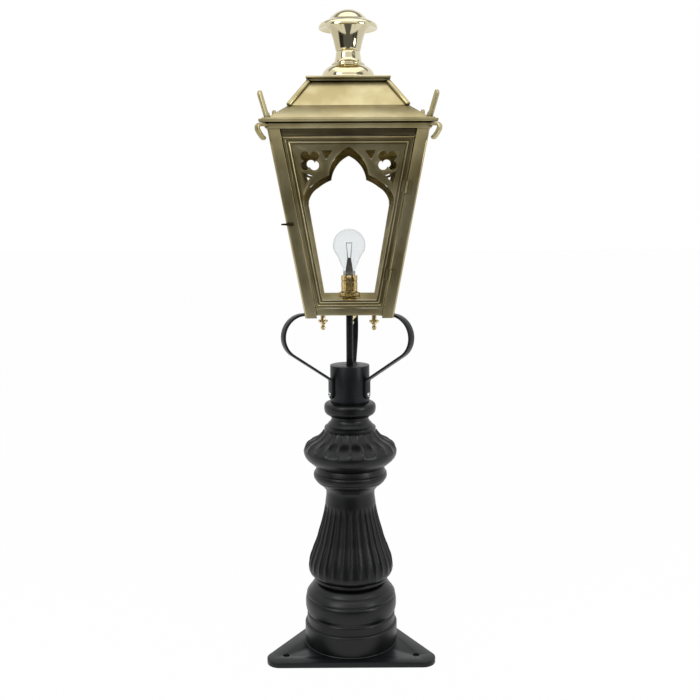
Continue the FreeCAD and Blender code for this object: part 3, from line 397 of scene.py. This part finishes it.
def easedCopy(node, width, angle=30, steps=2):
    # a CAD piece with its edges eased, as folded or filed metal has them
    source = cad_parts[node]
    piece = source.copy()
    piece.data = source.data.copy()
    piece.modifiers.clear()
    bpy.context.collection.objects.link(piece)
    piece.parent = None
    piece.matrix_world = Matrix.Identity(4)
    takeUp(piece)
    startPiece(node + "_eased")
    bpy.ops.object.mode_set(mode="EDIT")
    bpy.ops.mesh.select_all(action="SELECT")
    bpy.ops.mesh.remove_doubles(threshold=touch)
    bpy.ops.mesh.dissolve_limited(angle_limit=math.radians(1))
    bpy.ops.object.mode_set(mode="OBJECT")
    applyModifier(piece, "BEVEL", width=width * mm, segments=steps, limit_method="ANGLE",
                  angle_limit=math.radians(angle), use_clamp_overlap=True)
    bpy.ops.object.shade_smooth_by_angle(angle=math.radians(35))
    return piece


def spread(piece, count, first, material, node):
    # copies round the axis, each with its own mesh
    others = [piece]
    for index in range(1, count):
        other = piece.copy()
        other.data = piece.data.copy()
        bpy.context.collection.objects.link(other)
        others.append(other)
    for index, other in enumerate(others):
        other.matrix_world = Matrix.Rotation(math.radians(first + 360 * index / count), 4, "Z")
        settle(other, material, "lantern", () if index else [node])


# pedestal: three iron castings on their plate

foot = {"segments": 160, "profile": [
    (24.6, 10), (89.4, 10), (89.4, 11.9), (88.6, 12.8), (88.5, 47.6), (84.5, 51.4, 3.9),
    (84.2, 53), (84.4, 65), (82.3, 69.2, 5), (82.6, 71), (84.9, 76), (85.6, 76.3), (87.1, 90, 40),
    (86, 101, 40), (84.4, 103.6), (83.4, 104.4), (84.5, 106.4, 3), (84, 109.6, 3), (82.2, 112.4),
    (79.8, 115.6), (78.2, 117), (76, 118.4), (76.2, 120.4), (73.3, 124.5, -14),
    (69.5, 128.4, -14), (66.4, 130.2), (62.6, 131), (61.6, 132), (61.4, 133.4), (24.6, 133.4)]}
# in the fluted castings, hollows gives how deep a flute is at each height
shaft = {"flutes": 30, "rows": 8, "profile": [
    (34, 133.6), (61.4, 133.6), (62, 134.6), (66.6, 135.4), (70.4, 137.4, 3.4),
    (70.8, 140.6, 3.4), (68.4, 143, 3.4), (66.6, 143.8), (68.6, 144.4), (73.6, 145.6),
    (77.6, 148.6), (80, 154), (80.8, 161), (80.6, 167), (79.8, 173), (77.8, 181), (75, 188),
    (72, 197), (67.1, 209), (64, 218), (61.2, 229), (58.2, 239), (55.4, 249), (52.8, 259),
    (50.6, 269), (48.9, 279), (48.1, 284), (47.6, 288), (45.8, 301), (45.9, 307), (46.6, 312),
    (49.5, 315.2), (50.6, 316.4), (58.9, 324, -16), (63.9, 328.6), (65.4, 330.6), (65.6, 332.4),
    (66.9, 333.4), (69.2, 338.4, 6), (69.2, 342.2, 6), (67.3, 346.6, 6), (66, 347.4), (65.4, 351),
    (63.8, 355.6), (63.3, 356.9), (34, 356.9)],
    "hollows": [(161, 1.8), (167, 3.0), (173, 3.4), (181, 3.4), (188, 3.3),
                (197, 3.2), (209, 3.1), (218, 3.0), (229, 2.9), (239, 2.7), (249, 2.6), (259, 2.5),
                (269, 2.3), (279, 1.4)]}
capital = {"flutes": 22, "rows": 10, "profile": [
    (24.6, 357.1), (63.3, 357.1), (66.9, 359), (71.9, 363), (76.6, 367), (81.3, 371.2), (85, 376),
    (87, 381), (87.8, 386), (87.5, 389), (86.6, 392.5), (85.2, 396), (83, 399.4), (80.2, 402.2),
    (76, 404.8), (71.5, 407), (66.9, 409), (61.5, 412.6), (57, 416.8), (53.4, 421), (50.9, 425),
    (47.2, 426.2), (47.1, 427), (48.2, 428.6), (48.4, 430.5), (48, 432.6), (46.6, 433.8),
    (43.4, 434.6), (43.3, 436.4), (40.4, 440, -14), (36.7, 444, -14), (34.8, 448, -12),
    (35.7, 452), (35.8, 452.8), (41.3, 455.8, 9), (46, 459.4, 9), (48, 464.6, 9), (48, 474.2, 22),
    (44.1, 478.6, 7), (40.3, 480.4), (24.6, 480.4)],
    "hollows": [(392.5, 1.6), (396, 3.4), (399.4, 4.6), (402.2, 5.0), (404.8, 5.0), (407, 4.8),
                (409, 4.5), (412.6, 3.9), (416.8, 3.3), (421, 2.8), (425, 2.4)]}


def flutePiece(piece, settings):
    # pulls every flute in at once, one height and one strip of the flute at a time
    takeUp(piece)
    bpy.ops.object.mode_set(mode="EDIT")
    rows = settings["rows"]
    pitch = 2 * math.pi / settings["flutes"]
    # how far a vertex may lie from its row's height and inside its radius, in mm, and from its
    # strip, in flutes
    near, skin, beside = 0.05, 0.5, 0.2 / rows
    radii = {z: r for r, z in [point[:2] for point in settings["profile"]]}
    for height, depth in settings["hollows"]:
        radius = radii[height]
        for row in range(1, rows // 2 + 1):
            across = row / rows
            hollow = depth * math.sqrt(max(1 - (2 * across - 1) ** 2, 0))
            strips = (across, 1 - across)

            def inStrip(vertex):
                level, out = vertex.co.z / mm, vertex.co.xy.length / mm
                if abs(level - height) > near or out < radius - skin:
                    return False
                turn = (math.atan2(vertex.co.x, vertex.co.y) / pitch) % 1
                return any(abs((turn - strip + 0.5) % 1 - 0.5) < beside for strip in strips)

            pick(piece, "VERT", inStrip)
            scale = (radius - hollow) / radius
            bpy.ops.transform.resize(value=(scale, scale, 1), center_override=(0, 0, height * mm))
    tidyMesh(50)


footCasting = turnPiece("footCasting", foot["profile"], foot["segments"], closed=True)
settle(footCasting, ironBlack, "lantern", ["pedestal_foot"])
for label, settings, node in (("shaftCasting", shaft, "pedestal_shaft"),
                              ("capitalCasting", capital, "pedestal_capital")):
    casting = turnPiece(label, settings["profile"], settings["flutes"] * settings["rows"],
                        closed=True)
    flutePiece(casting, settings)
    settle(casting, ironBlack, "lantern", [node])
print("castings turned and fluted")

steelWork = {"base_plate": 0.8, "collar": 0.5, "stem_tube": 0.5, "core_tube": 0.5,
             "strap_1": 0.5, "strap_2": 0.5, "strap_3": 0.5}
for node, width in steelWork.items():
    settle(easedCopy(node, width), steelBlack, "lantern", [node])
print("plate, collar and straps eased")


# strap screws: domed heads with a hexagon socket

strapScrew = {"count": 3, "face": 40.7, "height": 496.7, "first": 176, "profile": [
    (4.5, 0), (4.6, 0.6), (4.2, 1.7), (3.1, 2.7), (1.9, 3.15), (1.75, 3.2), (1.6, 1.6)]}
screw = turnPiece("strapScrew", strapScrew["profile"], 36)
place = Matrix.Translation((0, -strapScrew["face"] * mm, strapScrew["height"] * mm))
screw.data.transform(place @ Matrix.Rotation(math.radians(90), 4, "X"))
spread(screw, strapScrew["count"], strapScrew["first"], steelBright,
       "strap_screws")


# ball nuts under the straps

ballNut = {"count": 3, "reach": 54, "first": 176, "profile": [
    (0.05, 617.6), (1.6, 617.9), (3, 618.7), (4.2, 620.4), (4.5, 622.2), (4.2, 624), (3.2, 625.6),
    (2.5, 626.4), (2.6, 627), (3.6, 627.6), (3.7, 628.4), (4.2, 629.3), (7, 631.8), (8.8, 632.8),
    (9, 633.6), (9, 635.9), (8.6, 636.5), (4.6, 636.8), (4.5, 637.4), (4.5, 645.9)]}
nut = turnPiece("ballNut", ballNut["profile"], 40)
nut.data.transform(Matrix.Translation((0, -ballNut["reach"] * mm, 0)))
spread(nut, ballNut["count"], ballNut["first"], brassGold, "finial_nuts")
print("screws and nuts placed")


# lantern body: folded and mitred sheet, with eased edges

# the top frame takes the darker brass, painted shade under the cornice
sheetWork = {"base_tray": (0.3, brassUpright), "bottom_frame": (0.6, brassLevel),
             "top_frame": (0.6, brassPaintedShade), "corner_post_front_left": (0.4, brassUpright),
             "corner_post_front_right": (0.4, brassUpright),
             "corner_post_rear_left": (0.4, brassUpright),
             "corner_post_rear_right": (0.4, brassUpright), "roof_cap": (0.6, brassLevel)}
for node, (width, finish) in sheetWork.items():
    settle(easedCopy(node, width), finish, "lantern", [node])


def drawIn(piece, factor, low=0, high=math.inf):
    # brings the part of a piece between two heights in towards the axis
    takeUp(piece)
    bpy.ops.object.mode_set(mode="EDIT")
    pick(piece, "VERT", lambda vertex: low * mm <= vertex.co.z <= high * mm)
    bpy.ops.transform.resize(value=(factor, factor, 1), center_override=(0, 0, 0))
    bpy.ops.object.mode_set(mode="OBJECT")
    return piece


# the roof: how far the hood with the skirt's upper edge, and the skirt's foot, are drawn in,
# and by how much the hip beads are swelled
roof = {"hood": 0.945, "foot": 0.93, "kink": 1007.5, "eaves": 1002.5, "bead": 0.45}
roofHood = drawIn(easedCopy("roof_hood", 0.5), roof["hood"])
settle(roofHood, brassHood, "lantern", ["roof_hood"])
roofSkirt = drawIn(easedCopy("roof_skirt", 0.5), roof["hood"], low=roof["kink"])
drawIn(roofSkirt, roof["foot"], high=roof["eaves"])
settle(roofSkirt, brassUpright, "lantern", ["roof_skirt"])
hipBeads = drawIn(easedCopy("hip_beads", 0.8, angle=40), roof["hood"])
applyModifier(hipBeads, "DISPLACE", strength=roof["bead"] * mm, mid_level=0)
settle(hipBeads, brassUpright, "lantern", ["hip_beads"])


# pierced plates

# the leaning faces of the body: their angle, and half width at the base's height
bodyFace = {"lean": 10, "half": 79, "base": 650}
# seat: how far the plate's inner face lies behind the body's; clear: how far it is lifted from it
fret = {**bodyFace, "seat": -6.5, "near": 0.03, "clear": 0.15, "ease": 0.25}


def seatFret(side, turn, body, settings):
    # eases the pierced plate and lifts its inner face off the pane, as its putty does
    piece = easedCopy("fret_" + side, settings["ease"])
    lean = math.radians(settings["lean"])
    around = Matrix.Rotation(math.radians(turn), 3, "Z")
    outward = around @ Vector((0, -math.cos(lean), -math.sin(lean)))
    face = around @ Vector((0, -settings["half"] * mm, settings["base"] * mm))
    takeUp(piece)
    bpy.ops.object.mode_set(mode="EDIT")
    inside = (settings["seat"] + settings["near"]) * mm
    pick(piece, "VERT", lambda vertex: (vertex.co - face).dot(outward) < inside)
    bpy.ops.transform.translate(value=outward * settings["clear"] * mm)
    tidyMesh()
    settle(piece, brassPierced, body, ["fret_" + side])


for side, turn, body in (("front", 0, "door"), ("right", 90, "lantern"), ("rear", 180, "lantern"),
                         ("left", 270, "lantern")):
    seatFret(side, turn, body, fret)
print("sheet work eased")


# panel frames: one moulding, mitred round each opening

panel = {**bodyFace, "edge": 21.6, "low": 13.2, "high": 310, "rim": 1.6, "back": 5.0,
         # width inwards, then depth of the face below the post's face
         "moulding": [(0.3, 1.2), (1.3, 0.4), (1.6, 0.5), (0.5, 2.8), (1.4, 4.0), (1.9, 4.0),
                      (0.5, 3.2), (0.7, 1.9), (1.4, 1.4), (0.7, 1.8), (0.5, 2.7), (1.2, 3.0),
                      (1.1, 1.1), (0.6, 1.0)]}


def panelFrame(name, turn, gap, settings, body, node):
    # a plate laid flat that widens upwards, cut to its moulding and its opening, then stood up
    lean = math.radians(settings["lean"])
    low, high = settings["low"] + gap, settings["high"] - gap
    halfLow = settings["half"] + low * math.sin(lean) - settings["edge"] - gap
    halfHigh = settings["half"] + high * math.sin(lean) - settings["edge"] - gap
    clearSelection()
    bpy.ops.mesh.primitive_plane_add(size=2, location=(0, 0, 0))
    piece = startPiece(name)
    bpy.ops.object.mode_set(mode="EDIT")
    middle, rise = (low + high) / 2, (high - low) / 2
    bpy.ops.transform.resize(value=(halfLow * mm, rise * mm, 1), center_override=(0, 0, 0))
    bpy.ops.transform.translate(value=(0, middle * mm, 0))
    pick(piece, "VERT", lambda vertex: vertex.co.y > middle * mm)
    bpy.ops.transform.resize(value=(halfHigh / halfLow, 1, 1), center_override=(0, high * mm, 0))
    bpy.ops.mesh.select_mode(type="FACE")
    bpy.ops.mesh.select_all(action="SELECT")
    bpy.ops.transform.translate(value=(0, 0, -settings["back"] * mm))
    depth = settings["rim"]
    bpy.ops.mesh.extrude_region_move(
        TRANSFORM_OT_translate={"value": (0, 0, (settings["back"] - depth) * mm)})
    for width, below in settings["moulding"]:
        bpy.ops.mesh.inset(thickness=width * mm, depth=0)
        bpy.ops.transform.translate(value=(0, 0, (depth - below) * mm))
        depth = below
    bpy.ops.mesh.extrude_region_move(
        TRANSFORM_OT_translate={"value": (0, 0, (depth - settings["back"]) * mm)})
    bpy.ops.mesh.delete(type="FACE")
    back = -settings["back"] * mm
    pick(piece, "FACE", lambda face: all(abs(corner.co.z - back) < touch for corner in face.verts))
    bpy.ops.mesh.delete(type="ONLY_FACE")
    pick(piece, "EDGE", lambda edge: edge.is_boundary)
    bpy.ops.mesh.bridge_edge_loops()
    tidyMesh(30)
    upright = Matrix.Rotation(math.radians(90) + lean, 4, "X")
    stand = Matrix.Translation((0, -settings["half"] * mm, settings["base"] * mm))
    piece.data.transform(Matrix.Rotation(math.radians(turn), 4, "Z") @ stand @ upright)
    settle(piece, brassMitred, body, [node])


# the gap round the door is wider than round the fixed frames
panelFrame("doorMoulding", 0, 0.6, panel, "door", "door_frame")
for side, turn in (("right", 90), ("rear", 180), ("left", 270)):
    panelFrame(side + "Moulding", turn, 0.1, panel, "lantern", "panel_frame_" + side)
print("panel mouldings mitred")


# cornice: one moulding, mitred round the square, from the top frame up to the skirt's foot
cornice = {"profile": [
    (122, 967.6), (136.6, 967.6), (137.5, 968.4), (137.5, 973.2), (138.6, 974),
    (139.4, 975.4, 1.4), (138.6, 976.6, 1.4), (137.2, 977), (137.4, 977.6), (146.8, 977.8),
    (147.7, 978.6), (147.7, 982), (147, 982.8), (142.6, 983), (142.8, 984.2, 0.9),
    (141.4, 985, 0.9), (134, 985), (122, 984.6)]}


def squareRun(name, profile):
    # a moulding carried round the square: a four-sided ring turned to stand along the walls
    corners = [(r * math.sqrt(2), z) for r, z in curvedProfile(profile)]
    piece = turnPiece(name, corners, 4, closed=True)
    bpy.ops.object.mode_set(mode="EDIT")
    bpy.ops.mesh.select_all(action="SELECT")
    bpy.ops.transform.rotate(value=math.radians(45), orient_axis="Z", center_override=(0, 0, 0))
    tidyMesh(25)
    return piece


corniceMoulding = squareRun("corniceMoulding", cornice["profile"])
settle(corniceMoulding, brassLevel, "lantern", ["cornice"])


# crockets on the corners, and the finial

crocket = {"cut": 1000, "foot": 984.6, "tip": 1025.6, "swell": 0.6,
           "claw": [(186, 973.6), (200, 974), (207.6, 973.2), (211.4, 970), (211, 965.4),
                    (207, 959.4), (201.6, 953.8), (196.6, 950.4)],
           "width": 9, "thick": 6, "round": 1.3}


def clawPiece(settings, turn):
    # a strip drawn out from the moulding's corner and hooked back below it
    run = [Vector((across * mm, 0, level * mm)) for across, level in settings["claw"]]
    half = settings["width"] / 2 * mm
    clearSelection()
    bpy.ops.mesh.primitive_plane_add(size=2 * half, location=run[0])
    piece = startPiece("crocketClaw")
    bpy.ops.object.transform_apply(location=True, rotation=True, scale=True)
    bpy.ops.object.mode_set(mode="EDIT")
    pick(piece, "VERT", lambda vertex: vertex.co.x > run[0].x)
    bpy.ops.transform.translate(value=(run[1].x - run[0].x - half, 0, run[1].z - run[0].z))
    pick(piece, "EDGE", lambda edge: all(vertex.co.x > run[0].x + half for vertex in edge.verts))
    for start, end in zip(run[1:], run[2:]):
        bpy.ops.mesh.extrude_region_move(TRANSFORM_OT_translate={"value": tuple(end - start)})
    bpy.ops.object.mode_set(mode="OBJECT")
    applyModifier(piece, "SOLIDIFY", thickness=settings["thick"] * mm, offset=0)
    applyModifier(piece, "BEVEL", width=settings["round"] * mm, segments=3, limit_method="ANGLE",
                  angle_limit=math.radians(50))
    piece.data.transform(Matrix.Rotation(math.radians(turn), 4, "Z"))
    takeUp(piece)
    bpy.ops.object.mode_set(mode="EDIT")
    tidyMesh(40)
    return piece


def crocketSpike(node, settings):
    # the CAD crocket's upper part, cut off above the claw and drawn down to the moulding
    piece = easedCopy(node, 1.6, angle=25, steps=4)
    bpy.ops.object.mode_set(mode="EDIT")
    bpy.ops.mesh.select_all(action="SELECT")
    bpy.ops.mesh.bisect(plane_co=(0, 0, settings["cut"] * mm), plane_no=(0, 0, 1), use_fill=True,
                        clear_inner=True)
    bpy.ops.mesh.select_all(action="SELECT")
    stretch = (settings["tip"] - settings["foot"]) / (settings["tip"] - settings["cut"])
    bpy.ops.transform.resize(value=(1, 1, stretch), center_override=(0, 0, settings["tip"] * mm))
    tidyMesh()
    applyModifier(piece, "DISPLACE", strength=settings["swell"] * mm, mid_level=0)
    return piece


for index in range(4):
    node = "corner_crocket_" + str(index + 1)
    settle(crocketSpike(node, crocket), brassUpright, "lantern", [node])
    settle(clawPiece(crocket, 45 + 90 * index), brassUpright, "lantern")

# the finial: a spun base and cap, with their joint in the neck
finialBase = {"profile": [
    (0.05, 1061.4), (51.2, 1061.4), (51.4, 1062), (51.4, 1065), (50.9, 1065.6), (48.2, 1065.9),
    (47.9, 1066.6), (47.2, 1071, 26), (44.6, 1076.8, 26), (40.2, 1081.9, 26), (35.4, 1085.4, 26),
    (31.4, 1087.4), (29.6, 1087.9), (29.4, 1088.8), (30, 1089.8, 1.2), (29, 1091, 1.2),
    (26.6, 1091.3), (26.4, 1092.6), (25.6, 1093.4), (24, 1096.4), (22.8, 1101, -20),
    (22, 1107, -40), (21.4, 1111.2), (21, 1111.9), (0.05, 1112)]}
finialCap = {"profile": [
    (0.05, 1112.2), (20.9, 1112.2), (21.6, 1112.9), (23.2, 1118), (25.2, 1127, -90),
    (26.8, 1133.5, -60), (29.2, 1140.5, -60), (32, 1147, -60), (34.6, 1152.4), (36.6, 1155.8),
    (38.4, 1156.8), (47.4, 1153.4), (50.6, 1151.4), (51.6, 1150.9), (52.2, 1151.6), (52.2, 1153),
    (51.4, 1156.2, 9), (48.4, 1159.6, 9), (44.6, 1161.8, 14), (37.6, 1164.4, -40), (35.6, 1165.4),
    (34.6, 1166.6), (33.6, 1167.6), (0.05, 1184.15, 43.5)]}
for label, settings, node in (("finialBase", finialBase, "finial_base"),
                              ("finialCap", finialCap, "finial_cap")):
    turned = turnPiece(label, settings["profile"], 128)
    settle(turned, brassPale, "lantern", [node])
print("roof and finial done")


# lampholder and lamp

shadeRing = {"profile": [
    (13.6, 676.2), (18.6, 676.2), (19.7, 676.9), (19.9, 678), (19.9, 680.6), (19.3, 681.3),
    (19.8, 682), (19.8, 684.2), (18.8, 685.4), (16.4, 686.4), (15.4, 687.7), (13.6, 687.7)]}
holderBase = {"profile": [
    (0.05, 664.1), (7.6, 664.1), (8, 664.8), (8, 666.4), (8.8, 667.4), (11.6, 670.6, -9),
    (12.9, 674.6), (12.9, 683.9), (0.05, 683.9)]}
holderShell = {"profile": [
    (11.5, 688.1), (14.9, 688.1), (14.9, 691.2), (14.4, 691.8), (14.9, 692.4), (14.9, 695.2),
    (14.4, 695.8), (14.9, 696.4), (14.9, 703.4), (14.3, 704), (14.3, 706), (14.8, 706.6),
    (14.9, 707.4), (14.9, 714.8), (14.3, 716.1), (13, 716.35), (11.5, 716)]}
# the blown lamp: its wall, how far the inside is sunk at the neck, and where it counts as the tip
lampBlown = {"wall": 0.7, "sink": 0.2, "tip": 1, "profile": [
    (10.95, 723.75), (11, 726), (12.2, 729, -14), (15.2, 734.6, -22), (19.2, 745, -90),
    (24.4, 755.5, -90), (28.19, 760.74), (0.05, 801, 30)]}

ring = turnPiece("shadeRing", shadeRing["profile"], 96, closed=True)
settle(ring, brassGold, "lantern", ["shade_ring"])
holder = turnPiece("holderBase", holderBase["profile"], 96)
settle(holder, brassGold, "lantern", ["lampholder_base"])


# a slot is a level seat for the lamp's pin with a way up to the rim at its right end
jSlot = {"middle": (2.6, -12.4, 707.2), "size": (8, 8, 2.8), "wayFrom": 3.8, "wayUp": 8.5}


def jSlots(shell, settings):
    # two J slots, each cut by a boolean with a bent bar
    for turn in (0, 180):
        clearSelection()
        bpy.ops.mesh.primitive_cube_add(
            size=1, location=[distance * mm for distance in settings["middle"]])
        cutter = startPiece("slotCutter")
        cutter.dimensions = [distance * mm for distance in settings["size"]]
        bpy.ops.object.transform_apply(location=True, rotation=True, scale=True)
        bpy.ops.object.mode_set(mode="EDIT")
        bpy.ops.mesh.select_all(action="SELECT")
        corner = settings["wayFrom"] * mm
        bpy.ops.mesh.bisect(plane_co=(corner, 0, 0), plane_no=(1, 0, 0))
        pick(cutter, "FACE",
             lambda face: face.normal.z > 0.9 and face.calc_center_median().x > corner + touch)
        bpy.ops.mesh.extrude_region_move(
            TRANSFORM_OT_translate={"value": (0, 0, settings["wayUp"] * mm)})
        tidyMesh()
        cutter.data.transform(Matrix.Rotation(math.radians(turn), 4, "Z"))
        applyModifier(shell, "BOOLEAN", operation="DIFFERENCE", object=cutter, solver="EXACT")
        bpy.data.objects.remove(cutter)


shell = turnPiece("holderShell", holderShell["profile"], 96, closed=True)
jSlots(shell, jSlot)
bpy.ops.object.shade_smooth_by_angle(angle=math.radians(35))
settle(shell, brassGold, "lantern", ["lampholder_shell"])

outer = curvedProfile(lampBlown["profile"])
inner = [(max(r - lampBlown["wall"], outer[-1][0]),
          z - lampBlown["wall" if r < lampBlown["tip"] else "sink"]) for r, z in outer[1:]]
blown = turnPiece("lampBlown", outer + inner[::-1], 96, closed=True)
settle(blown, lampGlass, "lamp", ["lamp_glass"])


# what the CAD nodes show as they are

finishes = {"glass_front": paneGlass, "glass_left": paneGlass, "glass_rear": paneGlass,
            "glass_right": paneGlass, "contact_block": mouldedResin,
            "inline_connector": mouldedResin, "lamp_lead": rubberBlack,
            "tray_bolts": steelBright, "door_catch": bronzeDark, "catch_screw": bronzeDark,
            "hinge_post_leaves": brassUpright, "hinge_door_leaves": brassUpright,
            "lamp_cap": aluminiumCap, "filament_mount": wireMetal}
for node, material in finishes.items():
    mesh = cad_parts[node].data
    mesh.materials.clear()
    mesh.materials.append(material)
print("CAD finishes given")


# floor, backdrop and light

studio = {"floor": "#f4f4f4", "white": 0.975, "world": 0.55}


def seenBy(tree, first, *others):
    # 1 for a ray of any of these kinds, else 0
    light = addNode(tree, "ShaderNodeLightPath")
    seen, output = light, first
    for kind in others:
        seen = addNode(tree, "ShaderNodeMath", [(seen, output, 0), (light, kind, 1)],
                       operation="MAXIMUM")
        output = "Value"
    return seen


def addFloor(settings):
    clearSelection()
    bpy.ops.mesh.primitive_plane_add(size=40, location=(0, 0, -0.0005))
    floor = startPiece("studioFloor")
    material, tree, shader = newMaterial("paperFloor")
    shader.inputs["Base Color"].default_value = linear(settings["floor"])
    shader.inputs["Roughness"].default_value = 0.9
    seen = seenBy(tree, "Is Camera Ray", "Is Glossy Ray", "Is Transmission Ray")
    share = addNode(tree, "ShaderNodeMath", [(seen, "Value", 0)], operation="MULTIPLY")
    share.inputs[1].default_value = settings["white"]
    white = addNode(tree, "ShaderNodeEmission", Strength=1.0)
    mixed = addNode(tree, "ShaderNodeMixShader", [(share, "Value", 0)])
    tree.links.new(shader.outputs[0], mixed.inputs[1])
    tree.links.new(white.outputs[0], mixed.inputs[2])
    tree.links.new(mixed.outputs[0], tree.nodes["Material Output"].inputs["Surface"])
    floor.data.materials.append(material)


def addWorld(settings):
    world = bpy.data.worlds.new("studio")
    world.use_nodes = True
    bpy.context.scene.world = world
    tree = world.node_tree
    seen = seenBy(tree, "Is Camera Ray", "Is Transmission Ray", "Is Glossy Ray")
    strength = addNode(tree, "ShaderNodeMapRange", [(seen, "Value", "Value")])
    strength.inputs["To Min"].default_value = settings["world"]
    strength.inputs["To Max"].default_value = 1.0
    back = tree.nodes["Background"]
    back.inputs["Color"].default_value = (1, 1, 1, 1)
    tree.links.new(strength.outputs["Result"], back.inputs["Strength"])


# painted reflections: these boards glow only for reflected rays and are clear to every other ray
# boards round the set, seen only in the metal's reflections. The upright ones go round it but for a
# gap at the back, dark low down and white above, with a dark strip each side of the front and
# lighter sides
wallBoard = {"reach": 2.2, "top": 2.8, "gap": 35, "rise": (0.95, 1.24, 1.5),
             "levels": (0.14, 0.6, 1), "strips": (37, 70), "strip": 0.2, "sides": 0.85,
             "blur": 0.02}
# a dark one lies on the ground in front, and a grey one leans overhead, behind
groundBoard = {"place": (0, -1.41, 0.002), "size": (1.1, 1.58), "level": 0.14}
skyBoard = {"place": (0, 1.05, 2.6), "tilt": 33, "size": (3.4, 1.4), "level": 0.33}


# a painted reflection: glows for reflected rays only, clear to the camera, to shadows and to
# bounced light
def boardMaterial(name):
    material, tree, shader = newMaterial(name)
    tree.nodes.remove(shader)
    light = addNode(tree, "ShaderNodeLightPath")
    clear = addNode(tree, "ShaderNodeBsdfTransparent")
    glow = addNode(tree, "ShaderNodeEmission")
    mixed = addNode(tree, "ShaderNodeMixShader", [(light, "Is Glossy Ray", 0)])
    tree.links.new(clear.outputs[0], mixed.inputs[1])
    tree.links.new(glow.outputs[0], mixed.inputs[2])
    tree.links.new(mixed.outputs[0], tree.nodes["Material Output"].inputs["Surface"])
    return material, tree, glow


def grey(level):
    return [level, level, level, 1]


def wallMaterial(name, settings):
    material, tree, glow = boardMaterial(name)
    place = addNode(tree, "ShaderNodeTexCoord")
    split = addNode(tree, "ShaderNodeSeparateXYZ", [(place, "Object", "Vector")])
    height = addNode(tree, "ShaderNodeMapRange", [(split, "Z", "Value")])
    height.inputs["From Max"].default_value = settings["top"]
    shade = addNode(tree, "ShaderNodeValToRGB", [(height, "Result", "Fac")])
    setRamp(shade, [(rise / settings["top"], grey(level))
                    for rise, level in zip(settings["rise"], settings["levels"])])
    # 0 straight in front, 1 straight behind
    back = addNode(tree, "ShaderNodeMath", [(split, "Y", 0)], operation="MULTIPLY")
    back.inputs[1].default_value = -1
    side = addNode(tree, "ShaderNodeMath", [(split, "X", 0)], operation="ABSOLUTE")
    turn = addNode(tree, "ShaderNodeMath", [(side, "Value", 0), (back, "Value", 1)],
                   operation="ARCTAN2")
    spot = addNode(tree, "ShaderNodeMapRange", [(turn, "Value", "Value")])
    spot.inputs["From Max"].default_value = math.pi
    strips = addNode(tree, "ShaderNodeValToRGB", [(spot, "Result", "Fac")])
    near, far = [angle / 180 for angle in settings["strips"]]
    blur = settings["blur"]
    setRamp(strips, [(near - blur, grey(1)), (near + blur, grey(settings["strip"])),
                     (far - blur, grey(settings["strip"])), (far + blur, grey(1))])
    beside = addNode(tree, "ShaderNodeMapRange", [(spot, "Result", "Value")])
    beside.inputs["From Min"].default_value = far
    beside.inputs["From Max"].default_value = far + 2 * blur
    beside.inputs["To Max"].default_value = settings["sides"]
    level = addNode(tree, "ShaderNodeMath", [(shade, "Color", 0), (beside, "Result", 1)],
                    operation="MAXIMUM")
    both = addNode(tree, "ShaderNodeMath", [(level, "Value", 0), (strips, "Color", 1)],
                   operation="MULTIPLY")
    tree.links.new(both.outputs[0], glow.inputs["Strength"])
    return material


def addWallBoard(settings):
    clearSelection()
    bpy.ops.mesh.primitive_cylinder_add(
        vertices=72, radius=settings["reach"], depth=settings["top"], end_fill_type="NOTHING",
        location=(0, 0, settings["top"] / 2))
    wall = startPiece("studioBoards")
    bpy.ops.object.transform_apply(location=True, rotation=True, scale=True)
    bpy.ops.object.mode_set(mode="EDIT")
    opening = math.cos(math.radians(settings["gap"])) * settings["reach"]
    pick(wall, "FACE", lambda face: face.calc_center_median().y > opening)
    bpy.ops.mesh.delete(type="FACE")
    bpy.ops.object.mode_set(mode="OBJECT")
    wall.data.materials.append(wallMaterial("boardsUpright", settings))


def addFlatBoard(name, materialName, settings):
    clearSelection()
    bpy.ops.mesh.primitive_plane_add(size=1, location=settings["place"],
                                     rotation=(math.radians(settings.get("tilt", 0)), 0, 0))
    board = startPiece(name)
    wide, deep = settings["size"]
    bpy.ops.transform.resize(value=(wide, deep, deep))
    material, _, glow = boardMaterial(materialName)
    glow.inputs["Strength"].default_value = settings["level"]
    board.data.materials.append(material)


def addLamp(name, place, target, size, power):
    data = bpy.data.lights.new(name, "AREA")
    data.shape = "RECTANGLE"
    data.size, data.size_y = size
    data.energy = power
    lamp = bpy.data.objects.new(name, data)
    lamp.location = place
    lamp.rotation_euler = (Vector(target) - Vector(place)).to_track_quat("-Z", "Y").to_euler()
    bpy.context.collection.objects.link(lamp)


# softboxes at the left, at the right and above: place, target, size in m, power in W
softboxes = {"keySoftbox": ((-1.5, -1.6, 1.6), (0, 0, 0.75), (0.7, 1.5), 22),
             "fillSoftbox": ((1.7, -1.2, 1.1), (0, 0, 0.65), (0.6, 1.5), 16),
             "topSoftbox": ((0, -0.3, 2.4), (0, 0, 1), (2.4, 2.4), 14)}

addFloor(studio)
addWorld(studio)
addWallBoard(wallBoard)
addFlatBoard("studioBoardLow", "boardDark", groundBoard)
addFlatBoard("studioBoardHigh", "boardGrey", skyBoard)
for label, (place, target, size, power) in softboxes.items():
    addLamp(label, place, target, size, power)
bpy.context.scene.view_settings.view_transform = "Standard"
print("studio lit")
